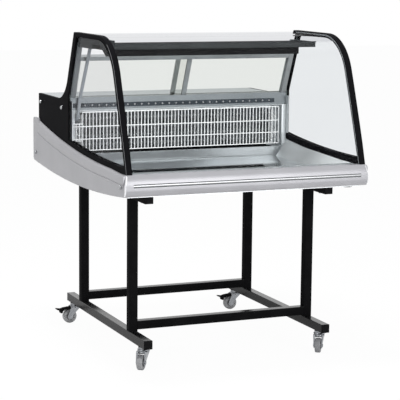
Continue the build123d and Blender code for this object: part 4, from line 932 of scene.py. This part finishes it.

# nearly black sheets as long as the evaporator, on the ledge under it and the wall behind, as painted shade
# in the air slot
shadeSheets = {  # mm
    "ledge": 776,  # z of the ledge
    "top": 806,  # z where the sheet on the wall ends
    "front": 134,  # y where the sheet on the ledge begins
    "wall": 215,  # y of the wall
    "thickness": 1,
}
size = metres(shadeSheets)
length = high.x - low.x
for name, sheet, place in (
        ("lining_ledge", (length, size["wall"] - size["front"], size["thickness"]),
         (middle.x, (size["wall"] + size["front"]) / 2, size["ledge"] + size["thickness"] / 2)),
        ("lining_wall", (length, size["thickness"], size["top"] - size["ledge"]),
         (middle.x, size["wall"] - size["thickness"] / 2, (size["top"] + size["ledge"]) / 2))):
    grow(name, plateRow, {
        "Size": sheet,
        "Count": 1,
        "Step": (0, 0, 0),
        "Place": place,
        "Finish": shadeSheetBlack,
    }, "cabinet")

# nozzles in the holes of the air strip
nozzles = {"pitch": 31, "radius": 3.6, "proud": 1.2}  # mm
size = metres(nozzles)
low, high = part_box("air_outlet_strip")
middle = (low + high) / 2
count = int((high.x - low.x) / size["pitch"])
grow("air_nozzles", domeRow, {
    "Size": (size["radius"], size["proud"], size["radius"]),
    "Count": count,
    "Step": (size["pitch"], 0, 0),
    "Place": (middle.x - (count - 1) * size["pitch"] / 2, low.y, middle.z),
    "Finish": hubGrey,
}, "cabinet")

# bright bead let into the front bumper
bead = {"proud": 0.3, "tall": 4.0}  # mm: how far past the strip, and half its height
size = metres(bead)
low, high = stripBox()
middle = (low + high) / 2
grow("bumper_bead", barRow, {
    "Length": high.x - low.x,
    "Section": ((high.y - low.y) / 2 + size["proud"], size["tall"], 1),
    "Count": 1,
    "Step": (0, 0, 0),
    "Place": (low.x, middle.y, middle.z),
    "Finish": beadSteel,
}, "cabinet", ("front_bumper_insert",))

# pressed louvre hoods over the slots of the rear cover, and its screws
louvres = {  # mm
    "length": 380,
    "middle": 210,  # x
    "firstLift": 35,  # of the lowest slot over the cover's lower edge
    "overSlot": 10,
    "pitch": 24,
    "proud": 7,
    "tall": 6,  # half its height
}
louvreCount = 8
coverScrews = {"inset": 20, "radius": 4.5, "proud": 2.6}  # mm
screwsInRow = 6
low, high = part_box("rear_cover")
size = metres(louvres)
grow("louvre_hoods", barRow, {
    "Length": size["length"],
    "Section": (size["proud"], size["tall"], 1),
    "Count": louvreCount,
    "Step": (0, 0, size["pitch"]),
    "Place": (size["middle"] - size["length"] / 2, high.y,
              low.z + size["firstLift"] + size["overSlot"]),
    "Finish": sheetGrey,
}, "cabinet")
size = metres(coverScrews)
for name, z in (("low", low.z + size["inset"]), ("high", high.z - size["inset"])):
    span = high.x - low.x - 2 * size["inset"]
    grow("cover_screws_" + name, domeRow, {
        "Size": (size["radius"], size["proud"], size["radius"]),
        "Count": screwsInRow,
        "Step": (span / (screwsInRow - 1), 0, 0),
        "Place": (low.x + size["inset"], high.y, z),
        "Finish": zincPlate,
    }, "cabinet")
print("grown pieces done")


# floor, light and camera

studio = {
    "white": (1, 1, 1, 1),
    "worldLight": 0.6,  # what falls on the cabinet; what is seen is full white
    "floorSize": 40,  # metres
    "floorColour": "#f6f6f6",
    "floorGlow": 0.96,  # share of plain white where the floor is seen
}
lamps = {  # place and target in metres, size in metres, watts
    "front": ((1.2, -4.6, 1.4), (0, 0, 0.75), 2.5, 92),
    "left": ((-3.8, -2.0, 3.0), (0, 0, 0.8), 2.2, 32),
    "top": ((-0.5, 0.0, 3.8), (-0.5, 0, 0.8), 0.9, 85),
}


def seenDirectly(tree):
    # 1 for what the camera sees, straight or by way of metal and glass
    path = addNode(tree, "ShaderNodeLightPath")
    first = addNode(tree, "ShaderNodeMath", {"operation": "MAXIMUM"},
                    {0: path.outputs["Is Camera Ray"], 1: path.outputs["Is Transmission Ray"]})
    second = addNode(tree, "ShaderNodeMath", {"operation": "MAXIMUM"},
                     {0: first.outputs[0], 1: path.outputs["Is Glossy Ray"]})
    return second.outputs[0]


def makeWorld():
    scene = bpy.context.scene
    scene.view_settings.view_transform = "Standard"
    world = bpy.data.worlds.new("studio")
    scene.world = world
    world.use_nodes = True
    tree = world.node_tree
    tree.nodes.clear()
    ambient = addNode(tree, "ShaderNodeBackground",
                      {"Color": studio["white"], "Strength": studio["worldLight"]})
    white = addNode(tree, "ShaderNodeBackground", {"Color": studio["white"], "Strength": 1.0})
    mix = addNode(tree, "ShaderNodeMixShader", None,
                  {0: seenDirectly(tree), 1: ambient.outputs[0], 2: white.outputs[0]})
    addNode(tree, "ShaderNodeOutputWorld", None, {"Surface": mix.outputs[0]})


def makeFloor():
    bpy.ops.mesh.primitive_plane_add(size=studio["floorSize"], location=(0, 0, 0))
    floor = bpy.context.object
    floor.name = "floor"
    paper = bpy.data.materials.new("paper_floor")
    paper.use_nodes = True
    tree = paper.node_tree
    tree.nodes.clear()
    diffuse = addNode(tree, "ShaderNodeBsdfDiffuse", {"Color": srgb(studio["floorColour"])})
    glow = addNode(tree, "ShaderNodeEmission", {"Color": studio["white"], "Strength": 1.0})
    share = addNode(tree, "ShaderNodeMath", {"operation": "MULTIPLY", 1: studio["floorGlow"]},
                    {0: seenDirectly(tree)})
    mix = addNode(tree, "ShaderNodeMixShader", None,
                  {0: share.outputs[0], 1: diffuse.outputs[0], 2: glow.outputs[0]})
    addNode(tree, "ShaderNodeOutputMaterial", None, {"Surface": mix.outputs[0]})
    floor.data.materials.append(paper)


def makeLamps():
    for name, (place, target, size, watts) in lamps.items():
        data = bpy.data.lights.new(name, "AREA")
        data.size = size
        data.energy = watts
        lamp = bpy.data.objects.new(name, data)
        lamp.location = place
        # nothing is seen against the lamp itself, from any side
        lamp.visible_camera = False
        lamp.visible_transmission = False
        aim = Vector(target) - Vector(place)
        lamp.rotation_euler = aim.to_track_quat("-Z", "Y").to_euler()
        bpy.context.scene.collection.objects.link(lamp)


# camera fitted to the photograph's straight edges
view = {
    "azimuth": 23.18,  # degrees
    "pitch": 8.82,
    "roll": 0.60,
    "place": (-2.48836, -5.89119, 1.57276),  # metres
    "lens": 139.12,  # mm
    "sensor": 36,
    "farthest": 100,  # metres
}


def makeCamera():
    az, pitch, roll = (math.radians(view[k]) for k in ("azimuth", "pitch", "roll"))
    ahead = Vector((math.sin(az) * math.cos(pitch), math.cos(az) * math.cos(pitch), -math.sin(pitch)))
    right = Vector((math.cos(az), -math.sin(az), 0))
    up = right.cross(ahead)
    side = math.cos(roll) * right + math.sin(roll) * up
    over = -math.sin(roll) * right + math.cos(roll) * up
    data = bpy.data.cameras.new("photo_view")
    data.sensor_width = view["sensor"]
    data.lens = view["lens"]
    data.clip_end = view["farthest"]
    camera = bpy.data.objects.new("photo_view", data)
    turn = Matrix((side, over, -ahead)).transposed()
    camera.matrix_world = Matrix.Translation(view["place"]) @ turn.to_4x4()
    bpy.context.scene.collection.objects.link(camera)
    bpy.context.scene.camera = camera


makeWorld()
makeFloor()
makeLamps()
makeCamera()
print("studio ready")
